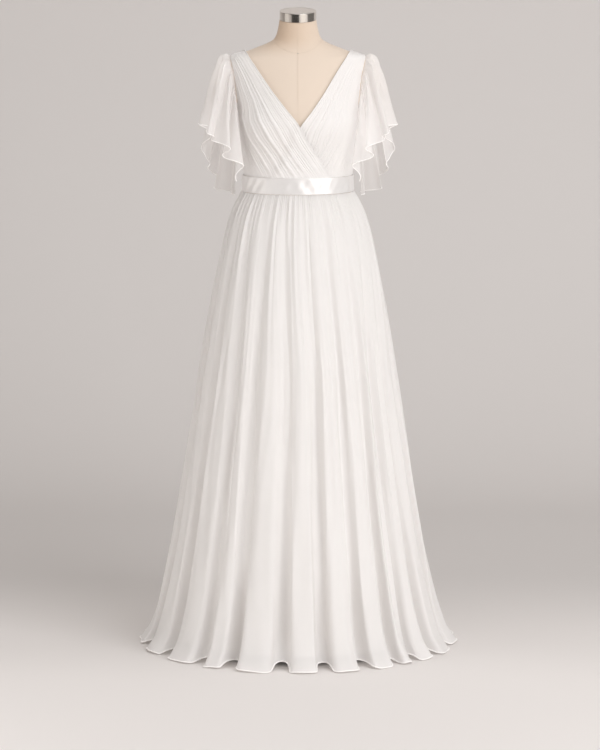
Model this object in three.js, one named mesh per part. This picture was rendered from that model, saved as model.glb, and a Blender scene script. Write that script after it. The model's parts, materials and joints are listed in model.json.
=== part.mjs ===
// A floor-length wedding dress on a limbless dress form: a crossover bodice of pleated chiffon with a V neck,
// a satin waistband, gathered flutter sleeves and a full gored chiffon skirt over a plain lining.
// Millimetres, +Z up, the front faces -Y. The origin is on the floor under the middle of the form.
import * as THREE from "three";

// Driving dimensions
const CAP_HEIGHT = 21.4;
const CAP_RADIUS = 44.5;
const CAP_BEVEL = 1.2;
const CAP_TILT = 8;
const WAIST_SEAM = 1119;
const BAND_HEIGHT = 40;
const BAND_TOP = WAIST_SEAM + BAND_HEIGHT;
const SEAM_GAP = 0.3;
const V_POINT_HEIGHT = 1279;
const HEM_HEIGHT = 0.8;
const LINING_HEM_HEIGHT = 22;

// Cloth walls and how far each lies off the form
const CHIFFON_WALL = 1.4;
const SKIRT_WALL = 1.6;
const SLEEVE_WALL = 1.3;
const LINING_WALL = 1.5;
const BODY_CLEARANCE = 2.4;
const WAIST_CLEARANCE = 1.2;
const SHOULDER_CLEARANCE = 1.8;
const BAND_CLEARANCE = 3.2;
const BAND_WALL = 2.5;
const PLEAT_RISE = 1.5;
const OVERLAP_LIFT = 4.6;
const WAIST_LIFT = 2.4;
const OVERLAP_RAMP = 26;

// Stand
const POLE_RADIUS = 16;
const SOCKET_RADIUS = 16.4;
const SOCKET_DEPTH = 60;
const BASE_RADIUS = 170;
const BASE_EDGE = 6;
const BASE_THICKNESS = 9;
const HUB_RADIUS = 27;
const HUB_HEIGHT = 40;

// The dress form, one row for each level: half its width, and its depth before and behind the side line.
const FORM_SECTIONS = [
  { z: 1536, halfWidth: 44.5, front: 44.5, back: 44.5 },
  { z: 1507, halfWidth: 50, front: 47, back: 50 },
  { z: 1490, halfWidth: 57, front: 50, back: 56 },
  { z: 1478, halfWidth: 76, front: 53, back: 62 },
  { z: 1470, halfWidth: 96, front: 55, back: 66 },
  { z: 1458, halfWidth: 127, front: 60, back: 72 },
  { z: 1446, halfWidth: 160, front: 66, back: 79 },
  { z: 1438, halfWidth: 164, front: 70, back: 83 },
  { z: 1425, halfWidth: 165, front: 77, back: 88 },
  { z: 1400, halfWidth: 162, front: 90, back: 96 },
  { z: 1360, halfWidth: 155, front: 108, back: 103 },
  { z: 1320, halfWidth: 146, front: 122, back: 104 },
  { z: 1285, halfWidth: 142.5, front: 127, back: 101 },
  { z: 1250, halfWidth: 139.5, front: 121, back: 96 },
  { z: 1215, halfWidth: 136, front: 110, back: 91 },
  { z: 1183, halfWidth: 132, front: 102.5, back: 87 },
  { z: BAND_TOP, halfWidth: 130.2, front: 100, back: 86 },
  { z: WAIST_SEAM, halfWidth: 130.5, front: 101, back: 88 },
  { z: 1060, halfWidth: 145.5, front: 109, back: 100 },
  { z: 985, halfWidth: 161.5, front: 118, back: 118 },
  { z: 900, halfWidth: 171, front: 122, back: 127 },
  { z: 830, halfWidth: 168, front: 118, back: 121 },
  { z: 792, halfWidth: 158, front: 108, back: 110 },
  { z: 780, halfWidth: 138, front: 90, back: 92 },
];
const FORM_COLUMNS = 32;
const BUST = { angle: 37, spread: 24, height: 1284, reach: 46, rise: 13 };

// Outer edges of a front panel, from the shoulder seam to the waist. Angles run from the centre front, 90 at the side.
const FRONT_EDGE_ROWS = [
  { neckZ: 1458, neckX: 127, armZ: 1446, armAngle: 90 },
  { neckZ: 1456.2, neckX: 126, armZ: 1442, armAngle: 80 },
  { neckZ: 1450, neckX: 120, armZ: 1434, armAngle: 74 },
  { neckZ: 1434, neckX: 108, armZ: 1420, armAngle: 70 },
  { neckZ: 1400, neckX: 85, armZ: 1400, armAngle: 68 },
  { neckZ: 1360, neckX: 58, armZ: 1360, armAngle: 69 },
  { neckZ: 1320, neckX: 28, armZ: 1320, armAngle: 77 },
  { neckZ: 1285, neckX: 1, armZ: 1300, armAngle: 89 },
  { neckZ: 1250, neckX: -18, armZ: 1250, armAngle: 90 },
  { neckZ: 1217, neckX: -37, armZ: 1217, armAngle: 90 },
  { neckZ: 1183, neckX: -56, armZ: 1183, armAngle: 90 },
  { neckZ: BAND_TOP, neckX: -70, armZ: BAND_TOP, armAngle: 90 },
];
// The V sits a little to the wearer's left, so both necklines shift that way towards their crossing.
const V_POINT_SHIFT = 6;
const UNDER_LAYER_TUCK = 14;
const BACK_V_HEIGHT = 1345;
const BACK_EDGE_ROWS = [
  { neckZ: 1458, neckAngle: 90, armZ: 1446, armAngle: 90 },
  { neckZ: 1456.2, neckAngle: 98, armZ: 1442, armAngle: 99 },
  { neckZ: 1453.8, neckAngle: 107, armZ: 1438.5, armAngle: 102.5 },
  { neckZ: 1449, neckAngle: 117, armZ: 1433, armAngle: 105.5 },
  { neckZ: 1442.5, neckAngle: 125, armZ: 1427, armAngle: 107.4 },
  { neckZ: 1434, neckAngle: 132, armZ: 1420, armAngle: 109 },
  { neckZ: 1412, neckAngle: 146, armZ: 1400, armAngle: 111 },
  { neckZ: 1389, neckAngle: 158, armZ: 1378, armAngle: 111 },
  { neckZ: 1367, neckAngle: 169, armZ: 1356, armAngle: 109 },
  { neckZ: BACK_V_HEIGHT, neckAngle: 180, armZ: 1334, armAngle: 106 },
  { neckZ: 1315, neckAngle: 180, armZ: 1315, armAngle: 99 },
  { neckZ: 1285, neckAngle: 180, armZ: 1300, armAngle: 91 },
  { neckZ: 1250, neckAngle: 180, armZ: 1250, armAngle: 90 },
  { neckZ: 1217, neckAngle: 180, armZ: 1217, armAngle: 90 },
  { neckZ: 1183, neckAngle: 180, armZ: 1183, armAngle: 90 },
  { neckZ: BAND_TOP, neckAngle: 180, armZ: BAND_TOP, armAngle: 90 },
];
const OVER_PLEATS = 15;
const UNDER_PLEATS = 14;
const BACK_PLEATS = 8;
const PLEAT_CREST = 0.62;
const BAND_COLUMNS = 44;

// The skirt's mean section at each level, and the size of its folds and waist gathers there.
const SKIRT_SECTIONS = [
  { z: WAIST_SEAM - SEAM_GAP, halfWidth: 136.4, front: 106.6, back: 93.6, fold: 0, gather: 1.5 },
  { z: 1100, halfWidth: 146, front: 116, back: 104, fold: 0.8, gather: 2.6 },
  { z: 1055, halfWidth: 165, front: 132, back: 124, fold: 2.5, gather: 2.6 },
  { z: 970, halfWidth: 185, front: 157, back: 157, fold: 6, gather: 1.2 },
  { z: 795, halfWidth: 214, front: 198, back: 204, fold: 11, gather: 0 },
  { z: 520, halfWidth: 253, front: 247, back: 256, fold: 17, gather: 0 },
  { z: 230, halfWidth: 298, front: 300, back: 310, fold: 22, gather: 0 },
  { z: 45, halfWidth: 341, front: 344, back: 352, fold: 27, gather: 0 },
  { z: HEM_HEIGHT, halfWidth: 366, front: 369, back: 376, fold: 31, gather: 0 },
];
const COLUMNS_A_FOLD = 8;
const GATHERS_A_FOLD = 2;
const FOLD_STEEPNESS = 0.062;
const FOLD_BREADTH = 0.06;
const HEM_LIFT = 11;
// Valleys between the folds, as angles at the hem from the centre front towards the wearer's left, and each fold's own depth.
const SKIRT_VALLEYS = [
  { angle: -59, depth: 1 },
  { angle: -38.8, depth: 0.85 },
  { angle: -27, depth: 1.1 },
  { angle: -5.9, depth: 1 },
  { angle: 10, depth: 1.1 },
  { angle: 25.8, depth: 1.05 },
  { angle: 39.8, depth: 0.75 },
  { angle: 48.7, depth: 0.8 },
  { angle: 60, depth: 1 },
  { angle: 77, depth: 1.05 },
  { angle: 94, depth: 0.9 },
  { angle: 108, depth: 1.1 },
  { angle: 127, depth: 0.95 },
  { angle: 143, depth: 1.05 },
  { angle: 160, depth: 1 },
  { angle: 180, depth: 1.1 },
  { angle: 197, depth: 0.85 },
  { angle: 211, depth: 1.1 },
  { angle: 230, depth: 1 },
  { angle: 247, depth: 0.9 },
  { angle: 262, depth: 1.1 },
  { angle: 281, depth: 1 },
];
// Skirt gores, each from one valley's number to another's.
const SKIRT_GORES = [
  { name: "skirt_front", from: 1, to: 6 },
  { name: "skirt_side_left", from: 6, to: 11 },
  { name: "skirt_back_left", from: 11, to: 15 },
  { name: "skirt_back_right", from: 15, to: 19 },
  { name: "skirt_side_right", from: 19, to: 23 },
];
const LINING_SECTIONS = [
  { z: WAIST_SEAM - 5, halfWidth: 133.6, front: 103.7, back: 90.7 },
  { z: 1060, halfWidth: 149.5, front: 115, back: 106 },
  { z: 965, halfWidth: 172, front: 141, back: 142 },
  { z: 790, halfWidth: 194, front: 176, back: 182 },
  { z: 400, halfWidth: 240, front: 239, back: 248 },
  { z: LINING_HEM_HEIGHT, halfWidth: 300, front: 302, back: 309 },
];
const LINING_COLUMNS = 32;

// A flutter sleeve's hem, from the front of the underarm over the shoulder to the back of the underarm.
const SLEEVE_HEM = [
  { u: 0, x: 139, y: -82, z: 1148 },
  { u: 0.14, x: 161, y: -104, z: 1196 },
  { u: 0.28, x: 193, y: -104, z: 1241 },
  { u: 0.4, x: 219, y: -70, z: 1273 },
  { u: 0.5, x: 228, y: -8, z: 1283 },
  { u: 0.6, x: 229, y: 52, z: 1236 },
  { u: 0.72, x: 217, y: 88, z: 1170 },
  { u: 0.86, x: 190, y: 96, z: 1116 },
  { u: 1, x: 153, y: 84, z: 1101 },
];
const SLEEVE_WAVES = 7;
const SLEEVE_COLUMNS_A_WAVE = 7;
const SLEEVE_ROWS = [0, 0.07, 0.18, 0.36, 0.58, 0.8, 1];
const SLEEVE_WAVE_DEPTH = 15;
const SLEEVE_OVERLAP = 18;
const SLEEVE_OVERLAP_TURN = 0.12;
const SLEEVE_PUFF = 0.3;
const SLEEVE_HEAD_RISE = 5;
const SLEEVE_HEAD_GATHER = 1.3;
const SLEEVE_EDGE_GAP = 1.3;
const SLEEVE_SEAM_RISE = 2.4;
const UNDERARM_END = 1318;

const clamp01 = (t) => Math.min(1, Math.max(0, t));
const mix = (a, b, t) => a + (b - a) * t;
const smooth = (a, b, t) => {
  const s = clamp01((t - a) / (b - a));
  return s * s * (3 - 2 * s);
};
const degrees = THREE.MathUtils.degToRad;

// A smooth value of one column of a table, at a place along its key column, without overshoot.
function along(table, key, column, at) {
  const up = table[0][key] < table[table.length - 1][key] ? table : [...table].reverse();
  const last = up.length - 1;
  if (at <= up[0][key]) return up[0][column];
  if (at >= up[last][key]) return up[last][column];
  let i = 0;
  while (at > up[i + 1][key]) i += 1;
  const step = (k) => up[k + 1][key] - up[k][key];
  const slope = (k) => (up[k + 1][column] - up[k][column]) / step(k);
  const tangent = (k) => {
    if (k === 0) return slope(0);
    if (k === last) return slope(last - 1);
    const [before, after] = [slope(k - 1), slope(k)];
    return before * after <= 0 ? 0 : (2 * before * after) / (before + after);
  };
  const t = (at - up[i][key]) / step(i);
  const [t2, t3] = [t * t, t * t * t];
  return (
    (2 * t3 - 3 * t2 + 1) * up[i][column] +
    (t3 - 2 * t2 + t) * step(i) * tangent(i) +
    (3 * t2 - 2 * t3) * up[i + 1][column] +
    (t3 - t2) * step(i) * tangent(i + 1)
  );
}

// A straight-line value of one column of a table, as the edge of a panel runs between its rows.
function between(table, key, column, at) {
  const up = table[0][key] < table[table.length - 1][key] ? table : [...table].reverse();
  const next = up.findIndex((row) => row[key] >= at);
  if (next === 0) return up[0][column];
  const [low, high] = [up[next - 1], up[next]];
  return mix(low[column], high[column], (at - low[key]) / (high[key] - low[key]));
}

// A point on an oval section: angle 0 is the centre front, 90 the wearer's left side.
function sectionPoint(table, angle, z, grow = 0) {
  const a = degrees(angle);
  const depth = along(table, "z", Math.cos(a) >= 0 ? "front" : "back", z);
  const width = along(table, "z", "halfWidth", z);
  return new THREE.Vector3((width + grow) * Math.sin(a), -(depth + grow) * Math.cos(a), z);
}

// The form's surface, with a soft bust on each side of the centre front.
function formPoint(angle, z) {
  const wrapped = ((((angle + 180) % 360) + 360) % 360) - 180;
  const acrossBust = (Math.abs(wrapped) - BUST.angle) / BUST.spread;
  const upBust = (z - BUST.height) / BUST.reach;
  const rise = BUST.rise * Math.exp(-acrossBust * acrossBust - upBust * upBust);
  return sectionPoint(FORM_SECTIONS, angle, z, rise);
}

// A point that stands off a surface, along its normal.
function standOff(surface, a, b, stepA, stepB, distance) {
  const acrossA = surface(a + stepA, b).sub(surface(a - stepA, b));
  const acrossB = surface(a, b + stepB).sub(surface(a, b - stepB));
  const normal = acrossB.cross(acrossA).normalize();
  return surface(a, b).addScaledVector(normal, distance);
}
const NORMAL_ANGLE_STEP = 0.5;
const NORMAL_HEIGHT_STEP = 1;
const offForm = (angle, z, distance) =>
  standOff(formPoint, angle, z, NORMAL_ANGLE_STEP, NORMAL_HEIGHT_STEP, -distance);

// The angle at which the form's section at a level reaches this far sideways.
function angleAt(x, z) {
  const share = x / along(FORM_SECTIONS, "z", "halfWidth", z);
  return THREE.MathUtils.radToDeg(Math.asin(Math.min(1, Math.max(-1, share))));
}

// A closed wall between two grids of points, or between the two faces of a ring when it wraps round.
function wallGeometry(columns, rows, outer, inner, wraps = false) {
  const across = wraps ? columns : columns + 1;
  const positions = [];
  for (const face of [outer, inner])
    for (let j = 0; j <= rows; j += 1)
      for (let i = 0; i < across; i += 1) positions.push(...face(i, j).toArray());
  const layer = across * (rows + 1);
  const at = (i, j, side) => side * layer + j * across + (i % across);
  const index = [];
  const quad = (a, b, c, d) => index.push(a, b, c, a, c, d);
  for (let j = 0; j < rows; j += 1)
    for (let i = 0; i < columns; i += 1) {
      quad(at(i, j, 0), at(i, j + 1, 0), at(i + 1, j + 1, 0), at(i + 1, j, 0));
      quad(at(i, j, 1), at(i + 1, j, 1), at(i + 1, j + 1, 1), at(i, j + 1, 1));
    }
  for (let i = 0; i < columns; i += 1) {
    quad(at(i, 0, 0), at(i + 1, 0, 0), at(i + 1, 0, 1), at(i, 0, 1));
    quad(at(i, rows, 0), at(i, rows, 1), at(i + 1, rows, 1), at(i + 1, rows, 0));
  }
  for (let j = 0; j < rows && !wraps; j += 1) {
    quad(at(0, j, 0), at(0, j, 1), at(0, j + 1, 1), at(0, j + 1, 0));
    quad(at(columns, j, 0), at(columns, j + 1, 0), at(columns, j + 1, 1), at(columns, j, 1));
  }
  return solidGeometry(positions, index);
}

// A geometry whose faces point out, whichever way its grid was wound.
function solidGeometry(positions, index) {
  const corner = (k) => new THREE.Vector3().fromArray(positions, 3 * index[k]);
  let volume = 0;
  for (let k = 0; k < index.length; k += 3)
    volume += corner(k).dot(corner(k + 1).cross(corner(k + 2)));
  if (volume < 0)
    for (let k = 0; k < index.length; k += 3)
      [index[k + 1], index[k + 2]] = [index[k + 2], index[k + 1]];
  return new THREE.BufferGeometry()
    .setAttribute("position", new THREE.Float32BufferAttribute(positions, 3))
    .setIndex(index);
}

// A solid through rings of points, closed with a point at each end.
function loftGeometry(rings, firstPoint, lastPoint) {
  const count = rings[0].length;
  const positions = [firstPoint, ...rings.flat(), lastPoint].flatMap((p) => p.toArray());
  const at = (ring, i) => 1 + ring * count + (i % count);
  const end = positions.length / 3 - 1;
  const index = [];
  for (let i = 0; i < count; i += 1) {
    index.push(0, at(0, i + 1), at(0, i));
    index.push(end, at(rings.length - 1, i), at(rings.length - 1, i + 1));
    for (let r = 0; r + 1 < rings.length; r += 1)
      index.push(at(r, i), at(r, i + 1), at(r + 1, i + 1), at(r, i), at(r + 1, i + 1), at(r + 1, i));
  }
  return solidGeometry(positions, index);
}

function turned(profile, segments) {
  const points = profile.map(([radius, z]) => new THREE.Vector2(radius, z));
  return new THREE.LatheGeometry(points, segments).rotateX(Math.PI / 2);
}

const material = (color, roughness, metalness = 0) =>
  new THREE.MeshStandardMaterial({ color, roughness, metalness });
const CHIFFON = material(0xf4f1ef, 0.75);
const SATIN = material(0xf6f3f1, 0.32);
const LINING_CLOTH = material(0xf0ece8, 0.6);
const LINEN = material(0xe6d6c5, 0.9);
const BRUSHED_METAL = material(0xb9b3ab, 0.3, 1);
const STAND_METAL = material(0x8f8b86, 0.4, 1);

function mesh(name, geometry, surface) {
  const made = new THREE.Mesh(geometry, surface);
  made.name = name;
  return made;
}

// Dress form and stand

// The neck's top leans forward, and the cap with it.
const neckTop = (radius, turn) =>
  new THREE.Vector3(radius * Math.sin(turn), -radius * Math.cos(turn), 0)
    .applyAxisAngle(new THREE.Vector3(1, 0, 0), degrees(CAP_TILT))
    .add(new THREE.Vector3(0, 0, FORM_SECTIONS[0].z));

function formTorso() {
  const round = (radius, z) => (i) => {
    const a = (2 * Math.PI * i) / FORM_COLUMNS;
    return new THREE.Vector3(radius * Math.sin(a), -radius * Math.cos(a), z);
  };
  const ringOf = (point) => Array.from({ length: FORM_COLUMNS }, (_, i) => point(i));
  const bottom = FORM_SECTIONS[FORM_SECTIONS.length - 1].z;
  const rings = FORM_SECTIONS.map(({ z }) => ringOf((i) => formPoint((360 * i) / FORM_COLUMNS, z)));
  rings[0] = ringOf((i) => neckTop(FORM_SECTIONS[0].halfWidth, (2 * Math.PI * i) / FORM_COLUMNS));
  rings.push(ringOf(round(SOCKET_RADIUS, bottom)), ringOf(round(SOCKET_RADIUS, bottom + SOCKET_DEPTH)));
  return loftGeometry(
    rings,
    new THREE.Vector3(0, 0, FORM_SECTIONS[0].z),
    new THREE.Vector3(0, 0, bottom + SOCKET_DEPTH),
  );
}

function neckCap() {
  const top = SEAM_GAP + CAP_HEIGHT;
  return turned(
    [
      [0, SEAM_GAP],
      [CAP_RADIUS, SEAM_GAP],
      [CAP_RADIUS, top - CAP_BEVEL],
      [CAP_RADIUS - CAP_BEVEL, top],
      [0, top],
    ],
    36,
  )
    .rotateX(degrees(CAP_TILT))
    .translate(0, 0, FORM_SECTIONS[0].z);
}

function standBase() {
  const seat = BASE_THICKNESS + SEAM_GAP;
  return turned(
    [
      [0, 0],
      [BASE_RADIUS, 0],
      [BASE_RADIUS, BASE_EDGE],
      [BASE_RADIUS - 3, BASE_THICKNESS],
      [HUB_RADIUS + 4, BASE_THICKNESS],
      [HUB_RADIUS, HUB_HEIGHT],
      [SOCKET_RADIUS, HUB_HEIGHT],
      [SOCKET_RADIUS, seat],
      [0, seat],
    ],
    32,
  );
}

function standPole() {
  const bottom = BASE_THICKNESS + 2 * SEAM_GAP;
  const top = FORM_SECTIONS[FORM_SECTIONS.length - 1].z + SOCKET_DEPTH - SEAM_GAP;
  return turned(
    [
      [0, bottom],
      [POLE_RADIUS, bottom],
      [POLE_RADIUS, top],
      [0, top],
    ],
    24,
  );
}

// Bodice

// How far the cloth lies off the form: close on the shoulders, and pressed flat into the waist seam.
function clearanceAt(z) {
  const shoulder = mix(BODY_CLEARANCE, SHOULDER_CLEARANCE, smooth(1425, 1450, z));
  return mix(WAIST_CLEARANCE, shoulder, smooth(BAND_TOP, 1200, z));
}

// The pressed seam above the band is thinner than the free pleats.
const pleatSize = (z) => mix(0.35, 1, smooth(BAND_TOP, 1190, z));

// Half a seam's gap as an angle at a level.
const seamAngle = (z, column) =>
  THREE.MathUtils.radToDeg(SEAM_GAP / 2 / along(FORM_SECTIONS, "z", column, z));

// One bodice panel between its neck edge and its arm edge, with pleats that run from the shoulder to the waist.
function bodicePanel(edges, pleats, side, lift) {
  const columns = pleats * 2;
  const bottomRow = edges.length - 1;
  const place = (i, j) => {
    const pleat = Math.floor(i / 2);
    const across = (pleat + (i % 2 ? PLEAT_CREST : 0)) / pleats;
    const { neckAngle, neckZ, armAngle, armZ } = edges[j];
    const atWaist = j === bottomRow ? SEAM_GAP : 0;
    return { angle: mix(neckAngle, armAngle, across), z: mix(neckZ, armZ, across) + atWaist };
  };
  const at = (i, j, outer) => {
    const { angle, z } = place(i, j);
    const crest = i % 2 ? PLEAT_RISE * pleatSize(z) : 0;
    const off = clearanceAt(z) + lift(angle, z) + (outer ? CHIFFON_WALL + crest : 0);
    const point = offForm(angle, z, off);
    if (j === bottomRow) point.z = z;
    return point.multiply(new THREE.Vector3(side, 1, 1));
  };
  return wallGeometry(
    columns,
    bottomRow,
    (i, j) => at(i, j, true),
    (i, j) => at(i, j, false),
  );
}

// A front panel's edges as angles. Its neck edge shifts towards the V point by that much at the crossing.
function frontEdges(shift, tuck) {
  return FRONT_EDGE_ROWS.map(({ neckZ, neckX, armZ, armAngle }) => {
    const cross = smooth(1440, V_POINT_HEIGHT, neckZ);
    const under = tuck * smooth(V_POINT_HEIGHT, V_POINT_HEIGHT - 60, neckZ);
    const seam = armAngle >= 89 ? seamAngle(armZ, "front") : 0;
    const neckAngle = Math.min(angleAt(neckX + shift * cross + under, neckZ), 90 - seamAngle(neckZ, "front"));
    return { neckAngle, neckZ, armZ, armAngle: Math.min(armAngle, 90 - seam) };
  });
}

function backEdges() {
  return BACK_EDGE_ROWS.map(({ neckAngle, neckZ, armZ, armAngle }) => {
    const sideSeam = armAngle <= 91 ? seamAngle(armZ, "back") : 0;
    const centre = 180 - seamAngle(neckZ, "halfWidth");
    const shoulder = 90 + seamAngle(neckZ, "back");
    return {
      neckAngle: Math.max(shoulder, Math.min(neckAngle, centre)),
      neckZ,
      armZ,
      armAngle: Math.max(armAngle, 90 + sideSeam),
    };
  });
}

// The wearer's right front lies over the left one, so it is lifted where the two cross.
const underEdges = frontEdges(V_POINT_SHIFT, UNDER_LAYER_TUCK);
const overEdges = frontEdges(-V_POINT_SHIFT, 0);
function overLift(angle, z) {
  const x = formPoint(angle, z).x;
  const row = (column) => along(underEdges, "neckZ", column, z);
  const underEdge = formPoint(row("neckAngle"), z).x;
  const covered = smooth(-OVERLAP_RAMP, 0, -x - underEdge);
  const belowV = 1 - smooth(V_POINT_HEIGHT + 6, V_POINT_HEIGHT + 60, z);
  const lift = mix(WAIST_LIFT, OVERLAP_LIFT, smooth(BAND_TOP, 1190, z));
  return lift * covered * belowV;
}
const flat = () => 0;

function waistband() {
  const opening = seamAngle(WAIST_SEAM, "halfWidth");
  const angle = (i) => mix(-180 + opening, 180 - opening, i / BAND_COLUMNS);
  const at = (i, j, off) => {
    const z = WAIST_SEAM + BAND_HEIGHT * (1 - j);
    const point = offForm(angle(i), z, off);
    point.z = z;
    return point;
  };
  return wallGeometry(
    BAND_COLUMNS,
    1,
    (i, j) => at(i, j, BAND_CLEARANCE + BAND_WALL),
    (i, j) => at(i, j, BAND_CLEARANCE),
  );
}

// Skirt

const folds = SKIRT_VALLEYS.length;
const valley = (k) => {
  const turns = Math.floor(k / folds);
  const row = SKIRT_VALLEYS[k - turns * folds];
  return { angle: row.angle + 360 * turns, depth: row.depth };
};

// The skirt's cloth at a place across the folds, where a whole number is the bottom of a valley, and at a level.
function skirtPoint(across, z) {
  const k = Math.floor(across);
  const t = across - k;
  const turn = 2 * Math.PI * t;
  const hemAngle = mix(valley(k).angle, valley(k + 1).angle, t);
  const evenAngle = valley(0).angle + (360 * across) / folds;
  const settled = smooth(1060, 640, z);
  const width = valley(k + 1).angle - valley(k).angle;
  const fold = along(SKIRT_SECTIONS, "z", "fold", z);
  const gather = along(SKIRT_SECTIONS, "z", "gather", z);
  const loose = smooth(900, 60, z);
  const lean = width * loose * (FOLD_STEEPNESS * Math.sin(2 * turn) - FOLD_BREADTH * Math.sin(turn));
  const depth = mix(valley(k).depth, valley(k + 1).depth, t);
  const wave = -fold * depth * Math.cos(turn) - gather * Math.cos(GATHERS_A_FOLD * turn);
  const point = sectionPoint(SKIRT_SECTIONS, mix(evenAngle, hemAngle, settled) + lean, z, wave);
  point.z += HEM_LIFT * smooth(90, 0, z) * smooth(0.35, -1, -Math.cos(turn)) * depth;
  return point;
}

function skirtGore({ from, to }) {
  const columns = (to - from) * COLUMNS_A_FOLD;
  const rows = SKIRT_SECTIONS.length - 1;
  const level = (j) => SKIRT_SECTIONS[j].z;
  const probe = 0.01;
  const place = (i, j) => {
    const across = from + i / COLUMNS_A_FOLD;
    const pace = skirtPoint(across + probe, level(j)).distanceTo(skirtPoint(across - probe, level(j)));
    const half = (SEAM_GAP / 2) * ((2 * probe) / pace);
    return across + (i === 0 ? half : 0) - (i === columns ? half : 0);
  };
  const at = (i, j, off) => {
    const point = standOff(skirtPoint, place(i, j), level(j), 0.02, NORMAL_HEIGHT_STEP, off);
    if (j === 0) point.z = level(0);
    point.z = Math.max(point.z, HEM_HEIGHT);
    return point;
  };
  return wallGeometry(
    columns,
    rows,
    (i, j) => at(i, j, 0),
    (i, j) => at(i, j, SKIRT_WALL),
  );
}

function skirtLining() {
  const angle = (i) => (360 * i) / LINING_COLUMNS;
  const at = (i, j, grow) => sectionPoint(LINING_SECTIONS, angle(i), LINING_SECTIONS[j].z, grow);
  return wallGeometry(
    LINING_COLUMNS,
    LINING_SECTIONS.length - 1,
    (i, j) => at(i, j, LINING_WALL),
    (i, j) => at(i, j, 0),
    true,
  );
}

// Sleeves

// Where a sleeve is sewn on: round the armhole from the front of the underarm to its back, just off the bodice's edge.
function armholePoint(u) {
  const front = u <= 0.5;
  const rows = front ? FRONT_EDGE_ROWS : BACK_EDGE_ROWS;
  const up = 1 - Math.abs(u - 0.5) * 2;
  const height = mix(UNDERARM_END, 1446, Math.sin((up * Math.PI) / 2));
  const edge = between(rows, "armZ", "armAngle", height);
  const gap = THREE.MathUtils.radToDeg(SLEEVE_EDGE_GAP / along(FORM_SECTIONS, "z", "front", height));
  const angle = front ? Math.min(edge + gap, 90) : Math.max(edge - gap, 90);
  const outside = mix(SLEEVE_SEAM_RISE, 0, smooth(1340, 1400, height));
  return offForm(angle, height - SLEEVE_EDGE_GAP, clearanceAt(height) + CHIFFON_WALL + outside);
}

// The sleeve's cloth: it leaves the armhole in small gathers, then falls into deep waves. Each wave laps over the
// next one towards the underarm, in front and behind.
function sleevePoint(u, v) {
  const start = armholePoint(u);
  const hem = new THREE.Vector3(...["x", "y", "z"].map((axis) => along(SLEEVE_HEM, "u", axis, u)));
  const outwards = v + SLEEVE_PUFF * (1 - v) * (1 - Math.exp(-v / 0.07));
  const fall = v ** 1.12;
  const rise = SLEEVE_HEAD_RISE * Math.sin(Math.PI * clamp01(v / 0.22)) * Math.sin(Math.PI * clamp01(u));
  const point = new THREE.Vector3(
    mix(start.x, hem.x, outwards),
    mix(start.y, hem.y, outwards),
    mix(start.z, hem.z, fall) + rise,
  );
  const probe = 0.02;
  const ahead = (w, axis) => along(SLEEVE_HEM, "u", axis, clamp01(w));
  const course = new THREE.Vector3(
    ahead(u + probe, "x") - ahead(u - probe, "x"),
    ahead(u + probe, "y") - ahead(u - probe, "y"),
    0,
  ).normalize();
  const away = new THREE.Vector3(course.y, -course.x, 0);
  const turn = 2 * Math.PI * SLEEVE_WAVES * u;
  const grown = v ** 1.25;
  const head = SLEEVE_HEAD_GATHER * smooth(0, 0.05, v) * (1 - smooth(0.2, 0.5, v));
  const calmEnds = smooth(0, 0.06, u) * smooth(1, 0.94, u);
  const depth = (SLEEVE_WAVE_DEPTH * grown + head) * mix(0.55, 1, calmEnds);
  point.addScaledVector(away, -depth * Math.cos(turn));
  const lap = Math.tanh((u - 0.5) / SLEEVE_OVERLAP_TURN) * mix(0.6, 1, smooth(0, 0.25, Math.min(u, 1 - u)));
  point.addScaledVector(course, -SLEEVE_OVERLAP * grown * lap * Math.cos(turn) * calmEnds);
  return point;
}

function sleeve(side) {
  const columns = SLEEVE_WAVES * SLEEVE_COLUMNS_A_WAVE;
  const rows = SLEEVE_ROWS.length - 1;
  const safe = (u, v) => sleevePoint(clamp01(u), clamp01(v));
  const at = (i, j, off) =>
    standOff(safe, i / columns, SLEEVE_ROWS[j], 0.004, 0.01, off).multiply(new THREE.Vector3(side, 1, 1));
  return wallGeometry(
    columns,
    rows,
    (i, j) => at(i, j, SLEEVE_WALL / 2),
    (i, j) => at(i, j, -SLEEVE_WALL / 2),
  );
}

const dress = new THREE.Group();
dress.add(
  mesh("form_torso", formTorso(), LINEN),
  mesh("form_cap", neckCap(), BRUSHED_METAL),
  mesh("stand_pole", standPole(), STAND_METAL),
  mesh("stand_base", standBase(), STAND_METAL),
  mesh("bodice_front_right", bodicePanel(overEdges, OVER_PLEATS, -1, overLift), CHIFFON),
  mesh("bodice_front_left", bodicePanel(underEdges, UNDER_PLEATS, 1, flat), CHIFFON),
  mesh("bodice_back_right", bodicePanel(backEdges(), BACK_PLEATS, -1, flat), CHIFFON),
  mesh("bodice_back_left", bodicePanel(backEdges(), BACK_PLEATS, 1, flat), CHIFFON),
  mesh("waistband", waistband(), SATIN),
  mesh("skirt_lining", skirtLining(), LINING_CLOTH),
  mesh("sleeve_right", sleeve(-1), CHIFFON),
  mesh("sleeve_left", sleeve(1), CHIFFON),
);
for (const gore of SKIRT_GORES) dress.add(mesh(gore.name, skirtGore(gore), CHIFFON));

export default dress;
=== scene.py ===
"""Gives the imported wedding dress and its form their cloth, seams, hems and finishes.

It lights them in a pale studio. The lengths here are metres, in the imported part's own
frame: +Z up, the front faces -Y, the floor is at zero.
"""

import functools
import json
import math
from collections import namedtuple

import bpy
import numpy as np
from mathutils import Matrix, Vector

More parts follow.
